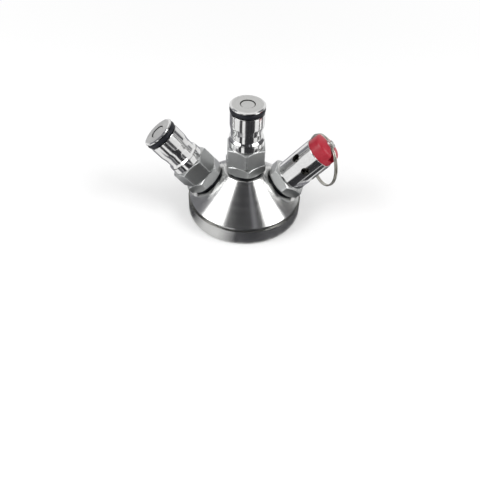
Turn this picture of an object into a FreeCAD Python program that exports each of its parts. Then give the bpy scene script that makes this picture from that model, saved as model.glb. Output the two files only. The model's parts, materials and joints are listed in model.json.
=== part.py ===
import FreeCAD, Part
import math
import os
import Sketcher

# A screw-on tapping head for a small keg: a turned cone that carries an upright liquid post,
# a gas post leaning to the left and a relief valve with a red cap and a pull ring on the right.
# Millimetres, +Z up, origin at the centre of the skirt's lower face.
# Each fitting is drawn about its own axis, with zero at the underside of its lowest hexagon.

SIZES = (
    # the turned body
    ("skirt_radius", 30.0),
    ("skirt_height", 9.3),
    ("skirt_chamfer", 0.5),
    ("cone_top_radius", 11.0),
    ("cone_top_height", 25.5),
    ("thread_crest_radius", 20.3),
    ("thread_depth", 1.1),
    ("thread_pitch", 2.6),
    ("thread_end_height", 7.0),
    ("gasket_groove_radius", 21.6),
    ("shoulder_height", 9.4),
    ("chamber_radius", 16.9),
    ("chamber_height", 15.0),
    # the three ports
    ("side_port_reach", 20.1),
    ("spotface_radius", 11.4),
    ("port_thread_radius", 5.0),
    ("port_thread_depth", 4.6),
    ("port_passage_radius", 4.2),
    ("thread_clearance", 0.1),
    ("thread_chamfer", 0.5),
    # flat seals
    ("gasket_thickness", 1.2),
    ("gasket_radius", 9.2),
    ("gasket_play", 0.2),
    ("neck_gasket_thickness", 1.6),
    ("neck_gasket_bore", 17.4),
    # hexagons
    ("adapter_flats", 19.0),
    ("adapter_hex_height", 5.1),
    ("post_flats", 18.8),
    ("post_hex_height", 9.4),
    ("valve_flats", 19.0),
    ("valve_hex_height", 5.4),
    ("hex_chamfer_angle", 30.0),
    # ball-lock posts
    ("adapter_spigot_radius", 7.2),
    ("adapter_spigot_height", 7.1),
    ("tube_flange_thickness", 1.0),
    ("tube_flange_radius", 6.4),
    ("collar_radius", 8.8),
    ("collar_height", 4.15),
    ("lock_groove_radius", 7.9),
    ("lock_groove_height", 4.25),
    ("lock_slope_height", 3.3),
    ("barrel_radius", 8.45),
    ("barrel_height", 10.1),
    ("oring_groove_height", 3.1),
    ("oring_section", 1.4),
    ("oring_outer_radius", 8.7),
    ("lip_radius", 8.65),
    ("lip_height", 0.9),
    ("lip_chamfer", 0.4),
    ("lip_face_radius", 7.8),
    ("post_mouth_radius", 3.7),
    ("post_mouth_depth", 4.9),
    ("post_chamber_radius", 4.9),
    # poppets
    ("poppet_nose_radius", 3.2),
    ("poppet_recess", 0.25),
    ("poppet_ease", 0.25),
    ("poppet_flange_radius", 4.6),
    ("poppet_flange_thickness", 1.8),
    ("poppet_seal_thickness", 0.4),
    ("poppet_tail_radius", 2.6),
    ("poppet_tail_length", 4.8),
    ("poppet_spring_radius", 3.9),
    ("poppet_spring_wire", 0.7),
    ("poppet_spring_turns", 6.0),
    # liquid tube
    ("tube_radius", 3.7),
    ("tube_bore", 2.9),
    ("spigot_radius", 3.97),
    ("spigot_chamfer", 0.4),
    ("spigot_top_height", 14.6),
    ("spigot_foot_height", 1.2),
    ("tube_play", 0.08),
    ("tube_oring_section", 0.6),
    # relief valve
    ("valve_barrel_radius", 8.45),
    ("valve_barrel_height", 20.6),
    ("valve_wall", 1.45),
    ("valve_rim_wall", 0.45),
    ("valve_floor_height", 3.0),
    ("valve_inlet_radius", 3.0),
    ("valve_seat_width", 1.0),
    ("valve_seat_height", 0.6),
    ("vent_radius", 2.2),
    ("vent_height", 17.0),
    ("vent_count", 6.0),
    ("cap_flange_depth", 1.8),
    ("cap_plug_depth", 2.1),
    ("cap_play", 0.05),
    ("cap_taper", 0.2),
    ("cap_side_height", 4.9),
    ("cap_shoulder_radius", 1.6),
    ("cap_shoulder_inset", 1.3),
    ("cap_crown_height", 7.2),
    ("cap_crown_radius", 21.0),
    ("cap_slot_width", 3.1),
    ("cap_slot_flare", 5.2),
    ("cap_slot_depth", 4.3),
    ("disc_radius", 5.7),
    ("disc_thickness", 2.0),
    ("disc_hub_radius", 3.0),
    ("disc_hub_height", 2.4),
    ("disc_skirt_lift", 0.3),
    ("valve_seal_radius", 4.6),
    ("valve_seal_thickness", 1.0),
    ("valve_seal_play", 0.05),
    ("stem_radius", 2.5),
    ("stem_thin_radius", 1.6),
    ("stem_thick_length", 15.1),
    ("stem_crown_height", 1.25),
    ("stem_crown_radius", 1.55),
    ("stem_play", 0.05),
    ("eye_lift", 4.1),
    ("eye_radius", 1.4),
    ("eye_rim", 0.8),
    ("valve_spring_radius", 4.6),
    ("valve_spring_wire", 0.9),
    ("valve_spring_turns", 7.0),
    # split ring
    ("ring_radius", 13.4),
    ("ring_wire", 0.9),
    ("ring_gap", 0.04),
    ("ring_turns", 2.0),
    # how far each fitting is screwed round, in degrees
    ("liquid_adapter_turn", 40.6),
    ("liquid_post_turn", 33.0),
    ("gas_adapter_turn", 38.3),
    ("gas_post_turn", 19.0),
    ("valve_turn", 20.0),
    ("slot_turn", 121.0),
)

doc = FreeCAD.newDocument("TappingHead")
sheet = doc.addObject("Spreadsheet::Sheet", "Sizes")
for row, (alias, number) in enumerate(SIZES, start=1):
    sheet.set("A%d" % row, alias)
    sheet.set("B%d" % row, str(number))
    sheet.setAlias("B%d" % row, alias)
doc.recompute()

AXIS_Y = FreeCAD.Vector(0, 1, 0)
AXIS_Z = FreeCAD.Vector(0, 0, 1)

# Shares of one pitch of the inside thread: the crest's land and each of its two flanks
CREST_SHARE = 0.4
FLANK_SHARE = 0.2
# Steps in which a coil's path is wound, two to a turn
STEPS_PER_TURN = 2


class Size:
    """A number together with the expression that binds it to the sheet."""

    def __init__(self, value, text):
        self.value = value
        self.text = text

    def joined(self, other, value, sign):
        return Size(value, "(%s %s %s)" % (self.text, sign, sized(other).text))

    def __add__(self, other):
        return self.joined(other, self.value + sized(other).value, "+")

    def __sub__(self, other):
        return self.joined(other, self.value - sized(other).value, "-")

    def __mul__(self, other):
        return self.joined(other, self.value * sized(other).value, "*")

    def __truediv__(self, other):
        return self.joined(other, self.value / sized(other).value, "/")

    def __neg__(self):
        return Size(-self.value, "(-1 * %s)" % self.text)


def sized(number):
    """The number itself if it is a Size, or else a Size with that fixed number."""
    if isinstance(number, Size):
        return number
    return Size(float(number), repr(float(number)))


def size(alias):
    """The Size kept in the sheet's cell of that alias."""
    return Size(float(sheet.get(alias)), "<<Sizes>>." + alias)


def origin_part(body, role):
    """The plane or axis of the body's origin that has this role."""
    for feature in body.Origin.OriginFeatures:
        if feature.Role == role:
            return feature
    raise ValueError("no origin feature " + role)


def new_body(name):
    body = doc.addObject("PartDesign::Body", name)
    body.Label = name
    return body


def new_sketch(body, name, plane, lift=None, tilt=None, reach=None):
    """A sketch on one of the body's planes, lifted along Z, moved along X and tilted about Y."""
    sketch = body.newObject("Sketcher::SketchObject", name)
    sketch.AttachmentSupport = [(origin_part(body, plane), "")]
    sketch.MapMode = "FlatFace"
    if lift is not None:
        angle = 0.0 if tilt is None else tilt.value
        along = 0.0 if reach is None else reach.value
        base = FreeCAD.Vector(along, 0, lift.value)
        axis = AXIS_Y if angle >= 0.0 else -AXIS_Y
        sketch.AttachmentOffset = FreeCAD.Placement(base, FreeCAD.Rotation(axis, abs(angle)))
        sketch.setExpression("AttachmentOffset.Base.z", lift.text)
    if reach is not None:
        sketch.setExpression("AttachmentOffset.Base.x", reach.text)
        sketch.setExpression("AttachmentOffset.Rotation.Angle", "abs(%s)" % tilt.text)
    return sketch


def hold_point(sketch, line, end, spot):
    """Ties one end of a line to its two distances from the sketch's origin."""
    for kind, distance, zero_axis in (("DistanceX", spot[0], -2), ("DistanceY", spot[1], -1)):
        distance = sized(distance)
        if distance.value == 0.0:
            sketch.addConstraint(Sketcher.Constraint("PointOnObject", line, end, zero_axis))
            continue
        held = sketch.addConstraint(Sketcher.Constraint(kind, -1, 1, line, end, distance.value))
        sketch.setExpression("Constraints[%d]" % held, distance.text)


def draw_outline(sketch, spots):
    """A closed outline. A spot is (x, y), or (x, y, radius, turn) where an arc leads to the next
    spot: turn is 1 for an anticlockwise arc and -1 for a clockwise one."""
    first = len(sketch.Geometry)
    count = len(spots)
    ends = []
    for index, spot in enumerate(spots):
        follower = spots[(index + 1) % count]
        start = FreeCAD.Vector(sized(spot[0]).value, sized(spot[1]).value, 0)
        finish = FreeCAD.Vector(sized(follower[0]).value, sized(follower[1]).value, 0)
        if len(spot) == 2:
            sketch.addGeometry(Part.LineSegment(start, finish), False)
            ends.append((1, 2))
            continue
        radius, turn = spot[2], spot[3]
        chord = finish - start
        sagitta = radius.value - math.sqrt(radius.value ** 2 - (chord.Length / 2) ** 2)
        aside = FreeCAD.Vector(chord.y, -chord.x, 0).normalize() * sagitta * turn
        middle = (start + finish) * 0.5 + aside
        sketch.addGeometry(Part.Arc(start, middle, finish), False)
        ends.append((1, 2) if turn > 0 else (2, 1))
    for index in range(count):
        after = (index + 1) % count
        sketch.addConstraint(
            Sketcher.Constraint("Coincident", first + index, ends[index][1], first + after, ends[after][0])
        )
    for index, spot in enumerate(spots):
        hold_point(sketch, first + index, ends[index][0], spot)
        if len(spot) > 2:
            held = sketch.addConstraint(Sketcher.Constraint("Radius", first + index, spot[2].value))
            sketch.setExpression("Constraints[%d]" % held, spot[2].text)


def draw_circle(sketch, radius, across=0.0, up=0.0):
    """A circle whose radius and centre follow the sheet."""
    across, up = sized(across), sized(up)
    centre = FreeCAD.Vector(across.value, up.value, 0)
    line = sketch.addGeometry(Part.Circle(centre, FreeCAD.Vector(0, 0, 1), radius.value), False)
    held = sketch.addConstraint(Sketcher.Constraint("Radius", line, radius.value))
    sketch.setExpression("Constraints[%d]" % held, radius.text)
    hold_point(sketch, line, 3, (across, up))


def turned(name, spots):
    """A new body turned about Z from a closed outline of (radius, height) spots."""
    body = new_body(name)
    sketch = new_sketch(body, name + "_outline", "XZ_Plane")
    draw_outline(sketch, spots)
    blank = body.newObject("PartDesign::Revolution", name + "_blank")
    blank.Profile = sketch
    blank.ReferenceAxis = (sketch, ["V_Axis"])
    blank.Angle = 360.0
    doc.recompute()
    return body


def pocket(body, sketch, name, length, both_ways=False):
    """Cuts the sketch's area into the body, against the sketch's normal or both ways, and proves it."""
    before = body.Shape.Volume
    cut = body.newObject("PartDesign::Pocket", name)
    cut.Profile = sketch
    cut.Type = "Length"
    cut.SideType = "Symmetric" if both_ways else "One side"
    cut.setExpression("Length", length.text)
    doc.recompute()
    if not cut.Shape.Volume < before - 1e-6:
        raise ValueError(name + " cuts nothing")
    return cut


def mill_hexagon(body, name, flats, foot, height):
    """Mills six flats on the turned blank between foot and foot + height. A corner points along X."""
    corner = flats / math.sqrt(3.0)
    corners = ((1, 0), (0.5, 0.5), (-0.5, 0.5), (-1, 0), (-0.5, -0.5), (0.5, -0.5))
    spots = []
    for along, aside in corners:
        spots.append((corner * along if along else 0.0, flats * aside if aside else 0.0))
    sketch = new_sketch(body, name + "_flats", "XY_Plane", lift=foot + height)
    draw_circle(sketch, flats)
    draw_outline(sketch, spots)
    pocket(body, sketch, name + "_milling", height)


def hexagon_blank(flats, foot, height):
    """Outer spots of a hexagon's turned blank, chamfered at both ends."""
    corner = flats / math.sqrt(3.0)
    half = flats / 2
    slope = (corner - half) * math.tan(math.radians(size("hex_chamfer_angle").value))
    return [(half, foot), (corner, foot + slope), (corner, foot + height - slope), (half, foot + height)]


def coil(radius, wire, pitch, turns, foot):
    """A round wire wound on a helix about Z, its first turn starting at foot."""
    steps = max(round(turns * STEPS_PER_TURN), 1)
    edges = []
    for step in range(steps):
        stretch = Part.makeHelix(pitch, pitch * turns / steps, radius)
        stretch.rotate(FreeCAD.Vector(), AXIS_Z, 360.0 * turns / steps * step)
        stretch.translate(AXIS_Z * (foot + pitch * turns / steps * step))
        edges.extend(stretch.Edges)
    start = edges[0].valueAt(edges[0].FirstParameter)
    along = edges[0].tangentAt(edges[0].FirstParameter)
    section = Part.Wire([Part.makeCircle(wire / 2, start, along)])
    return Part.Wire(edges).makePipeShell([section], True, True)


def spring(name, radius, wire, turns, foot, top):
    """A compression spring between two seats."""
    pitch = (top - foot - wire) / turns
    item = doc.addObject("Part::Feature", name)
    item.Label = name
    item.Shape = coil(radius, wire, pitch, turns, foot + wire / 2)
    return item


def ring_seal(name, centre_radius, section, height):
    """An O-ring."""
    item = doc.addObject("Part::Torus", name)
    item.Label = name
    item.setExpression("Radius1", centre_radius.text)
    item.setExpression("Radius2", section.text)
    doc.recompute()
    item.Placement = FreeCAD.Placement(FreeCAD.Vector(0, 0, height.value), FreeCAD.Rotation())
    return item


# Heights shared by the pieces of a post
hex_top = size("adapter_hex_height")
post_shoulder = hex_top + size("adapter_spigot_height") + size("tube_flange_thickness")
post_hex_top = hex_top + size("post_hex_height")
collar_top = post_hex_top + size("collar_height")
groove_top = collar_top + size("lock_groove_height")
barrel_top = groove_top + size("barrel_height")
oring_top = barrel_top + size("oring_groove_height")
post_top = oring_top + size("lip_height")
mouth_foot = post_top - size("post_mouth_depth")
seat_foot = mouth_foot - (size("post_chamber_radius") - size("post_mouth_radius"))
seal_foot = seat_foot - size("poppet_seal_thickness")
flange_foot = seal_foot - size("poppet_flange_thickness")
male_port_radius = size("port_thread_radius") - size("thread_clearance")
spigot_foot = -size("port_thread_depth") - size("gasket_thickness") + size("thread_clearance")

# Heights shared by the pieces of the relief valve
rim_height = size("valve_hex_height") + size("valve_barrel_height")
cap_flange_foot = rim_height - size("cap_flange_depth")
cap_foot = cap_flange_foot - size("cap_plug_depth")
crown_top = rim_height + size("cap_crown_height")
eye_height = crown_top - size("cap_slot_depth") + size("eye_lift")
seal_rest = size("valve_floor_height") + size("valve_seat_height")
disc_foot = seal_rest + size("valve_seal_thickness")
disc_top = disc_foot + size("disc_thickness")

# The side ports stand square on the cone's slope
rise = size("cone_top_height") - size("skirt_height")
run = size("skirt_radius") - size("cone_top_radius")
lean = Size(math.degrees(math.atan2(rise.value, run.value)), "atan(%s / %s)" % (rise.text, run.text))
port_height = size("skirt_height") + (size("skirt_radius") - size("side_port_reach")) * rise / run


def thread_rings(crest, depth, pitch, foot, top):
    """Spots of an inside thread drawn as rings: crest lands with grooves of that depth between."""
    spots = []
    rings = int((top.value - foot.value) / pitch.value)
    for ring in range(rings):
        start = foot + pitch * ring
        spots.append((crest, start + pitch * CREST_SHARE))
        spots.append((crest + depth, start + pitch * (CREST_SHARE + FLANK_SHARE)))
        spots.append((crest + depth, start + pitch * (1.0 - FLANK_SHARE)))
        spots.append((crest, start + pitch))
    return spots


def make_coupler_body():
    """The turned cone with its skirt, inside thread, chamber and three ports."""
    chamfer = size("skirt_chamfer")
    crest = size("thread_crest_radius")
    thread_end = size("thread_end_height")
    passage = size("port_passage_radius")
    port = size("port_thread_radius")
    thread_floor = size("cone_top_height") - size("port_thread_depth")
    chamber_edge = size("chamber_radius") - (size("chamber_height") - size("shoulder_height")) * run / rise
    spots = [(crest + chamfer, 0.0), (size("skirt_radius") - chamfer, 0.0)]
    spots.append((size("skirt_radius"), chamfer))
    spots.append((size("skirt_radius"), size("skirt_height")))
    spots.append((size("cone_top_radius"), size("cone_top_height")))
    spots.append((port, size("cone_top_height")))
    spots.append((port, thread_floor))
    spots.append((passage, thread_floor))
    spots.append((passage, size("chamber_height")))
    spots.append((chamber_edge, size("chamber_height")))
    spots.append((size("chamber_radius"), size("shoulder_height")))
    spots.append((size("gasket_groove_radius"), size("shoulder_height")))
    spots.append((size("gasket_groove_radius"), thread_end))
    spots.append((crest, thread_end))
    rings = thread_rings(crest, size("thread_depth"), size("thread_pitch"), chamfer, thread_end)
    spots.extend(reversed(rings))
    spots.append((crest, chamfer))
    body = turned("coupler_body", spots)
    sides = (("gas_port", -lean, -size("side_port_reach")), ("valve_port", lean, size("side_port_reach")))
    for name, angle, reach in sides:
        cuts = (
            ("spotface", size("spotface_radius"), size("gasket_thickness")),
            ("thread", port, size("gasket_thickness") + size("port_thread_depth")),
            ("passage", passage, size("skirt_radius") - size("chamber_radius")),
        )
        for step, radius, depth in cuts:
            sketch = new_sketch(body, "%s_%s_ring" % (name, step), "XY_Plane", port_height, angle, reach)
            draw_circle(sketch, radius)
            pocket(body, sketch, "%s_%s" % (name, step), depth)
    return body


def make_flat_seal(name, bore, outer, thickness, foot):
    return turned(name, [(bore, foot), (outer, foot), (outer, foot + thickness), (bore, foot + thickness)])


def make_adapter(name, bore, has_recess):
    """Hexagon with a threaded foot for the port and a threaded spigot for the post."""
    foot_chamfer = size("thread_chamfer")
    spigot = size("adapter_spigot_radius")
    tip = hex_top + size("adapter_spigot_height")
    if not has_recess:
        tip = tip + size("tube_flange_thickness")
    spots = [(bore, spigot_foot), (male_port_radius - foot_chamfer, spigot_foot)]
    spots.append((male_port_radius, spigot_foot + foot_chamfer))
    spots.append((male_port_radius, 0.0))
    spots.extend(hexagon_blank(size("adapter_flats"), sized(0.0), hex_top))
    spots.append((spigot, hex_top))
    spots.append((spigot, tip - foot_chamfer))
    spots.append((spigot - foot_chamfer, tip))
    if has_recess:
        recess = size("tube_radius") + size("tube_oring_section") * 2 + size("tube_play")
        depth = size("tube_oring_section") * 2
        spots.append((recess, tip))
        spots.append((recess, tip - depth))
        spots.append((bore, tip - depth))
    else:
        spots.append((bore, tip))
    body = turned(name, spots)
    mill_hexagon(body, name, size("adapter_flats"), sized(0.0), hex_top)
    return body


def make_post(name):
    """Ball-lock post: hexagon, collar, locking groove, barrel, O-ring groove and lip."""
    female = size("adapter_spigot_radius") + size("thread_clearance")
    groove_floor = size("oring_outer_radius") - size("oring_section") * 2
    chamfer = size("lip_chamfer")
    spots = [(female, hex_top)]
    spots.extend(hexagon_blank(size("post_flats"), hex_top, size("post_hex_height")))
    spots.append((size("collar_radius"), post_hex_top))
    spots.append((size("collar_radius"), collar_top - chamfer))
    spots.append((size("lock_groove_radius"), collar_top + chamfer))
    spots.append((size("lock_groove_radius"), groove_top))
    spots.append((size("barrel_radius"), groove_top + size("lock_slope_height")))
    spots.append((size("barrel_radius"), barrel_top))
    spots.append((groove_floor, barrel_top))
    spots.append((groove_floor, oring_top))
    spots.append((size("lip_radius"), oring_top))
    spots.append((size("lip_radius"), post_top - chamfer))
    spots.append((size("lip_face_radius"), post_top))
    spots.append((size("post_mouth_radius"), post_top))
    spots.append((size("post_mouth_radius"), mouth_foot))
    spots.append((size("post_chamber_radius"), seat_foot))
    spots.append((size("post_chamber_radius"), post_shoulder))
    spots.append((female, post_shoulder))
    body = turned(name, spots)
    mill_hexagon(body, name, size("post_flats"), hex_top, size("post_hex_height"))
    return body


def make_poppet(name):
    """Plunger that closes the post from inside: nose, flange and tail."""
    nose = size("poppet_nose_radius")
    top = post_top - size("poppet_recess")
    flange = size("poppet_flange_radius")
    tail = size("poppet_tail_radius")
    tail_foot = flange_foot - size("poppet_tail_length")
    ease = size("poppet_ease")
    spots = [(0.0, tail_foot), (tail - ease, tail_foot), (tail, tail_foot + ease), (tail, flange_foot)]
    spots.extend([(flange, flange_foot), (flange, seal_foot), (nose, seal_foot)])
    spots.extend([(nose, top - ease), (nose - ease, top), (0.0, top)])
    return turned(name, spots)


def make_poppet_seal(name):
    """Rubber ring on the poppet's flange, its slope lying on the post's inner seat."""
    nose = size("poppet_nose_radius")
    outer = size("poppet_flange_radius")
    low = seat_foot + (size("post_chamber_radius") - outer)
    high = mouth_foot - size("thread_clearance")
    inner = size("post_mouth_radius") + size("thread_clearance")
    return turned(name, [(nose, seal_foot), (outer, seal_foot), (outer, low), (inner, high), (nose, high)])


def make_liquid_tube(name, floor):
    """Flanged tube through the post's adapter, ending in the plain spigot for the dip hose."""
    tube = size("tube_radius")
    bore = size("tube_bore")
    spigot = size("spigot_radius")
    ease = size("spigot_chamfer")
    flange_low = post_shoulder - size("tube_flange_thickness")
    foot = size("spigot_foot_height") - floor
    top = size("spigot_top_height") - floor
    spots = [(bore, foot), (spigot - ease, foot), (spigot, foot + ease), (spigot, top), (tube, top)]
    spots.extend([(tube, flange_low), (size("tube_flange_radius"), flange_low)])
    spots.extend([(size("tube_flange_radius"), post_shoulder), (bore, post_shoulder)])
    return turned(name, spots)


def make_valve_body(name):
    """Relief valve's barrel with its hexagon, seat, rim and six vents."""
    ease = size("thread_chamfer")
    barrel = size("valve_barrel_radius")
    inlet = size("valve_inlet_radius")
    inside = barrel - size("valve_wall")
    mouth = barrel - size("valve_rim_wall")
    floor = size("valve_floor_height")
    lip = inlet + size("valve_seat_width")
    rim_ease = size("valve_rim_wall") / 2
    spots = [(inlet, spigot_foot), (male_port_radius - ease, spigot_foot)]
    spots.extend([(male_port_radius, spigot_foot + ease), (male_port_radius, 0.0)])
    spots.extend(hexagon_blank(size("valve_flats"), sized(0.0), size("valve_hex_height")))
    spots.extend([(barrel, size("valve_hex_height")), (barrel, rim_height - rim_ease)])
    spots.extend([(barrel - rim_ease, rim_height), (mouth, rim_height), (mouth, cap_flange_foot)])
    spots.extend([(inside, cap_flange_foot), (inside, floor)])
    spots.extend([(lip, floor), (lip, seal_rest), (inlet, seal_rest)])
    body = turned(name, spots)
    mill_hexagon(body, name, size("valve_flats"), sized(0.0), size("valve_hex_height"))
    sketch = new_sketch(body, name + "_vent_ring", "YZ_Plane")
    draw_circle(sketch, size("vent_radius"), 0.0, size("vent_height"))
    vent = pocket(body, sketch, name + "_vent", barrel + ease)
    pattern = body.newObject("PartDesign::PolarPattern", name + "_vents")
    pattern.Originals = [vent]
    pattern.Axis = (origin_part(body, "Z_Axis"), [""])
    pattern.Angle = 360.0
    pattern.Occurrences = int(size("vent_count").value)
    body.Tip = pattern
    doc.recompute()
    return body


def make_cap(name):
    """Red plug crimped into the valve's rim: a crowned button with a flared slot for the ring."""
    flange = size("valve_barrel_radius") - size("valve_rim_wall") - size("cap_play")
    plug = size("valve_barrel_radius") - size("valve_wall") - size("cap_play")
    bore = size("stem_radius") + size("stem_play")
    side_top = rim_height + size("cap_side_height")
    side_radius = flange - size("cap_taper")
    shoulder_radius = side_radius - size("cap_shoulder_inset")
    shoulder_top = side_top + size("cap_shoulder_inset")
    spots = [(bore, cap_foot), (plug, cap_foot), (plug, cap_flange_foot), (flange, cap_flange_foot)]
    spots.append((flange, rim_height))
    spots.append((side_radius, side_top, size("cap_shoulder_radius"), 1))
    spots.append((shoulder_radius, shoulder_top, size("cap_crown_radius"), 1))
    spots.append((bore, crown_top))
    body = turned(name, spots)
    half = size("cap_slot_width") / 2
    wide = size("cap_slot_flare") / 2
    reach = size("valve_barrel_radius")
    waist = size("stem_radius")
    sketch = new_sketch(body, name + "_slot_plan", "XY_Plane", lift=crown_top)
    draw_outline(
        sketch,
        [
            (-reach, -wide), (-waist, -half), (waist, -half), (reach, -wide),
            (reach, wide), (waist, half), (-waist, half), (-reach, wide),
        ],
    )
    pocket(body, sketch, name + "_slot", size("cap_slot_depth"))
    return body


def make_stem(name):
    """Valve stem: a thin lower rod, a thick guided rod and a rounded head with the ring's eye."""
    thin = size("stem_thin_radius")
    thick = size("stem_radius")
    top = eye_height + size("eye_radius") + size("eye_rim")
    step = top - size("stem_thick_length")
    crown = size("stem_crown_height")
    spots = [(0.0, disc_foot), (thin, disc_foot), (thin, step), (thick, step)]
    spots.append((thick, top - crown, size("stem_crown_radius"), 1))
    spots.append((thick - crown, top))
    spots.append((0.0, top))
    body = turned(name, spots)
    sketch = new_sketch(body, name + "_eye_ring", "YZ_Plane")
    draw_circle(sketch, size("eye_radius"), 0.0, eye_height)
    pocket(body, sketch, name + "_eye", thick * 4, both_ways=True)
    return body


def make_valve_disc(name):
    """Metal disc with a hub on the stem and a skirt around its rubber seal."""
    bore = size("stem_thin_radius") + size("stem_play")
    outer = size("disc_radius")
    hub = size("disc_hub_radius")
    hub_top = disc_top + size("disc_hub_height")
    skirt = size("valve_seal_radius") + size("valve_seal_play")
    skirt_foot = seal_rest + size("disc_skirt_lift")
    spots = [(bore, disc_foot), (skirt, disc_foot), (skirt, skirt_foot), (outer, skirt_foot)]
    spots.extend([(outer, disc_top), (hub, disc_top), (hub, hub_top), (bore, hub_top)])
    return turned(name, spots)


def make_valve_seal(name):
    """Flat rubber face that the disc presses on the seat's lip."""
    outer = size("valve_seal_radius")
    return turned(name, [(0.0, seal_rest), (outer, seal_rest), (outer, disc_foot), (0.0, disc_foot)])


def make_pull_ring(name):
    """Split ring of two close turns, drawn flat about Z with both ends opposite the eye."""
    wire = size("ring_wire").value
    pitch = wire + size("ring_gap").value
    item = doc.addObject("Part::Feature", name)
    item.Label = name
    item.Shape = coil(size("ring_radius").value, wire, pitch, size("ring_turns").value, -pitch)
    return item


def port_frame(angle, reach, height):
    """Place of a fitting: on its seat, leaning outwards."""
    return FreeCAD.Placement(FreeCAD.Vector(reach, 0, height), FreeCAD.Rotation(AXIS_Y, angle))


def turn_by(angle):
    """A turn about the fitting's own axis, in degrees."""
    return FreeCAD.Placement(FreeCAD.Vector(), FreeCAD.Rotation(AXIS_Z, angle))


def lay(item, frame, angle=0.0):
    """Puts a piece in its port's frame, screwed round by the angle and keeping its own height."""
    item.Placement = frame * turn_by(angle) * item.Placement


centre = port_frame(0.0, 0.0, size("cone_top_height").value + size("gasket_thickness").value)
left = port_frame(-lean.value, -size("side_port_reach").value, port_height.value)
right = port_frame(lean.value, size("side_port_reach").value, port_height.value)

pieces = [make_coupler_body()]
neck_gasket_foot = size("shoulder_height") - size("neck_gasket_thickness")
pieces.append(
    make_flat_seal(
        "neck_gasket",
        size("neck_gasket_bore"),
        size("gasket_groove_radius") - size("gasket_play"),
        size("neck_gasket_thickness"),
        neck_gasket_foot,
    )
)

gasket_bore = size("port_thread_radius") + size("gasket_play")
adapter_gasket = (gasket_bore, size("gasket_radius"), size("gasket_thickness"), -size("gasket_thickness"))
oring_centre = size("oring_outer_radius") - size("oring_section")
oring_height = barrel_top + size("oring_groove_height") / 2
poppet_spring = (
    size("poppet_spring_radius").value,
    size("poppet_spring_wire").value,
    size("poppet_spring_turns").value,
    post_shoulder.value,
    flange_foot.value,
)
tube_bore = size("spigot_radius") + size("tube_play")
posts = (
    ("liquid", centre, tube_bore, True, size("liquid_adapter_turn").value, size("liquid_post_turn").value),
    ("gas", left, size("tube_bore"), False, size("gas_adapter_turn").value, size("gas_post_turn").value),
)
for side, frame, bore, has_tube, adapter_turn, post_turn in posts:
    fitted = [
        (make_adapter(side + "_adapter", bore, has_tube), adapter_turn),
        (make_flat_seal(side + "_adapter_gasket", *adapter_gasket), 0.0),
        (make_post(side + "_post"), post_turn),
        (ring_seal(side + "_post_oring", oring_centre, size("oring_section"), oring_height), 0.0),
        (make_poppet(side + "_poppet"), post_turn),
        (make_poppet_seal(side + "_poppet_seal"), 0.0),
        (spring(side + "_poppet_spring", *poppet_spring), post_turn),
    ]
    if has_tube:
        tube_seal_radius = size("tube_radius") + size("tube_oring_section")
        section = size("tube_oring_section")
        tube_seal_height = hex_top + size("adapter_spigot_height") - section
        tube_seal = ring_seal("liquid_tube_oring", tube_seal_radius, section, tube_seal_height)
        seat_height = size("cone_top_height") + size("gasket_thickness")
        fitted.append((make_liquid_tube("liquid_tube", seat_height), 0.0))
        fitted.append((tube_seal, 0.0))
    for item, angle in fitted:
        lay(item, frame, angle)
        pieces.append(item)

slot_turn = size("slot_turn").value
valve_spring = (
    size("valve_spring_radius").value,
    size("valve_spring_wire").value,
    size("valve_spring_turns").value,
    disc_top.value,
    cap_foot.value,
)
fitted = [
    (make_valve_body("valve_body"), size("valve_turn").value),
    (make_flat_seal("valve_gasket", *adapter_gasket), 0.0),
    (make_cap("valve_cap"), slot_turn),
    (make_stem("valve_stem"), slot_turn),
    (make_valve_disc("valve_disc"), slot_turn),
    (spring("valve_spring", *valve_spring), slot_turn),
    (make_valve_seal("valve_seal"), slot_turn),
]
for item, angle in fitted:
    lay(item, right, angle)
    pieces.append(item)

# The split ring hangs straight down from the stem's eye and swings about the eye's own axis
eye_frame = right * turn_by(slot_turn)
eye = eye_frame.multVec(FreeCAD.Vector(0, 0, eye_height.value))
swing_axis = eye_frame.Rotation.multVec(FreeCAD.Vector(1, 0, 0))
hang = -AXIS_Z - swing_axis * (-AXIS_Z.dot(swing_axis))
hang.normalize()
ring = make_pull_ring("pull_ring")
ring_frame = FreeCAD.Rotation(hang, swing_axis, hang.cross(swing_axis), "XYZ")
lay(ring, FreeCAD.Placement(eye + hang * size("ring_radius").value, ring_frame))
pieces.append(ring)
doc.recompute()

os.makedirs("parts", exist_ok=True)
for item in doc.Objects:
    if "Invalid" in item.State or "Error" in item.State:
        raise ValueError(item.Label + " failed: " + str(item.State))
for item in pieces:
    if item.Shape.isNull() or not item.Shape.isValid():
        raise ValueError(item.Label + " has no valid shape")
    solids = len(item.Shape.Solids)
    if solids != 1:
        raise ValueError("%s has %d solids" % (item.Label, solids))
for item in pieces:
    item.Shape.exportStep("parts/%s.step" % item.Label)
    box = item.Shape.BoundBox
    corners = (box.XMin, box.YMin, box.ZMin, box.XMax, box.YMax, box.ZMax)
    numbers = " ".join("%8.2f" % corner for corner in corners)
    print("%-24s %10.1f mm3  %s" % (item.Label, item.Shape.Volume, numbers))
print("eye %.3f %.3f %.3f" % tuple(eye))
print("swing axis %.5f %.5f %.5f" % tuple(swing_axis))
print("lean %.4f port height %.4f" % (lean.value, port_height.value))
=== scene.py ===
import json
import math

import bmesh
import bpy
import numpy as np
from mathutils import Matrix, Vector


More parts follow.
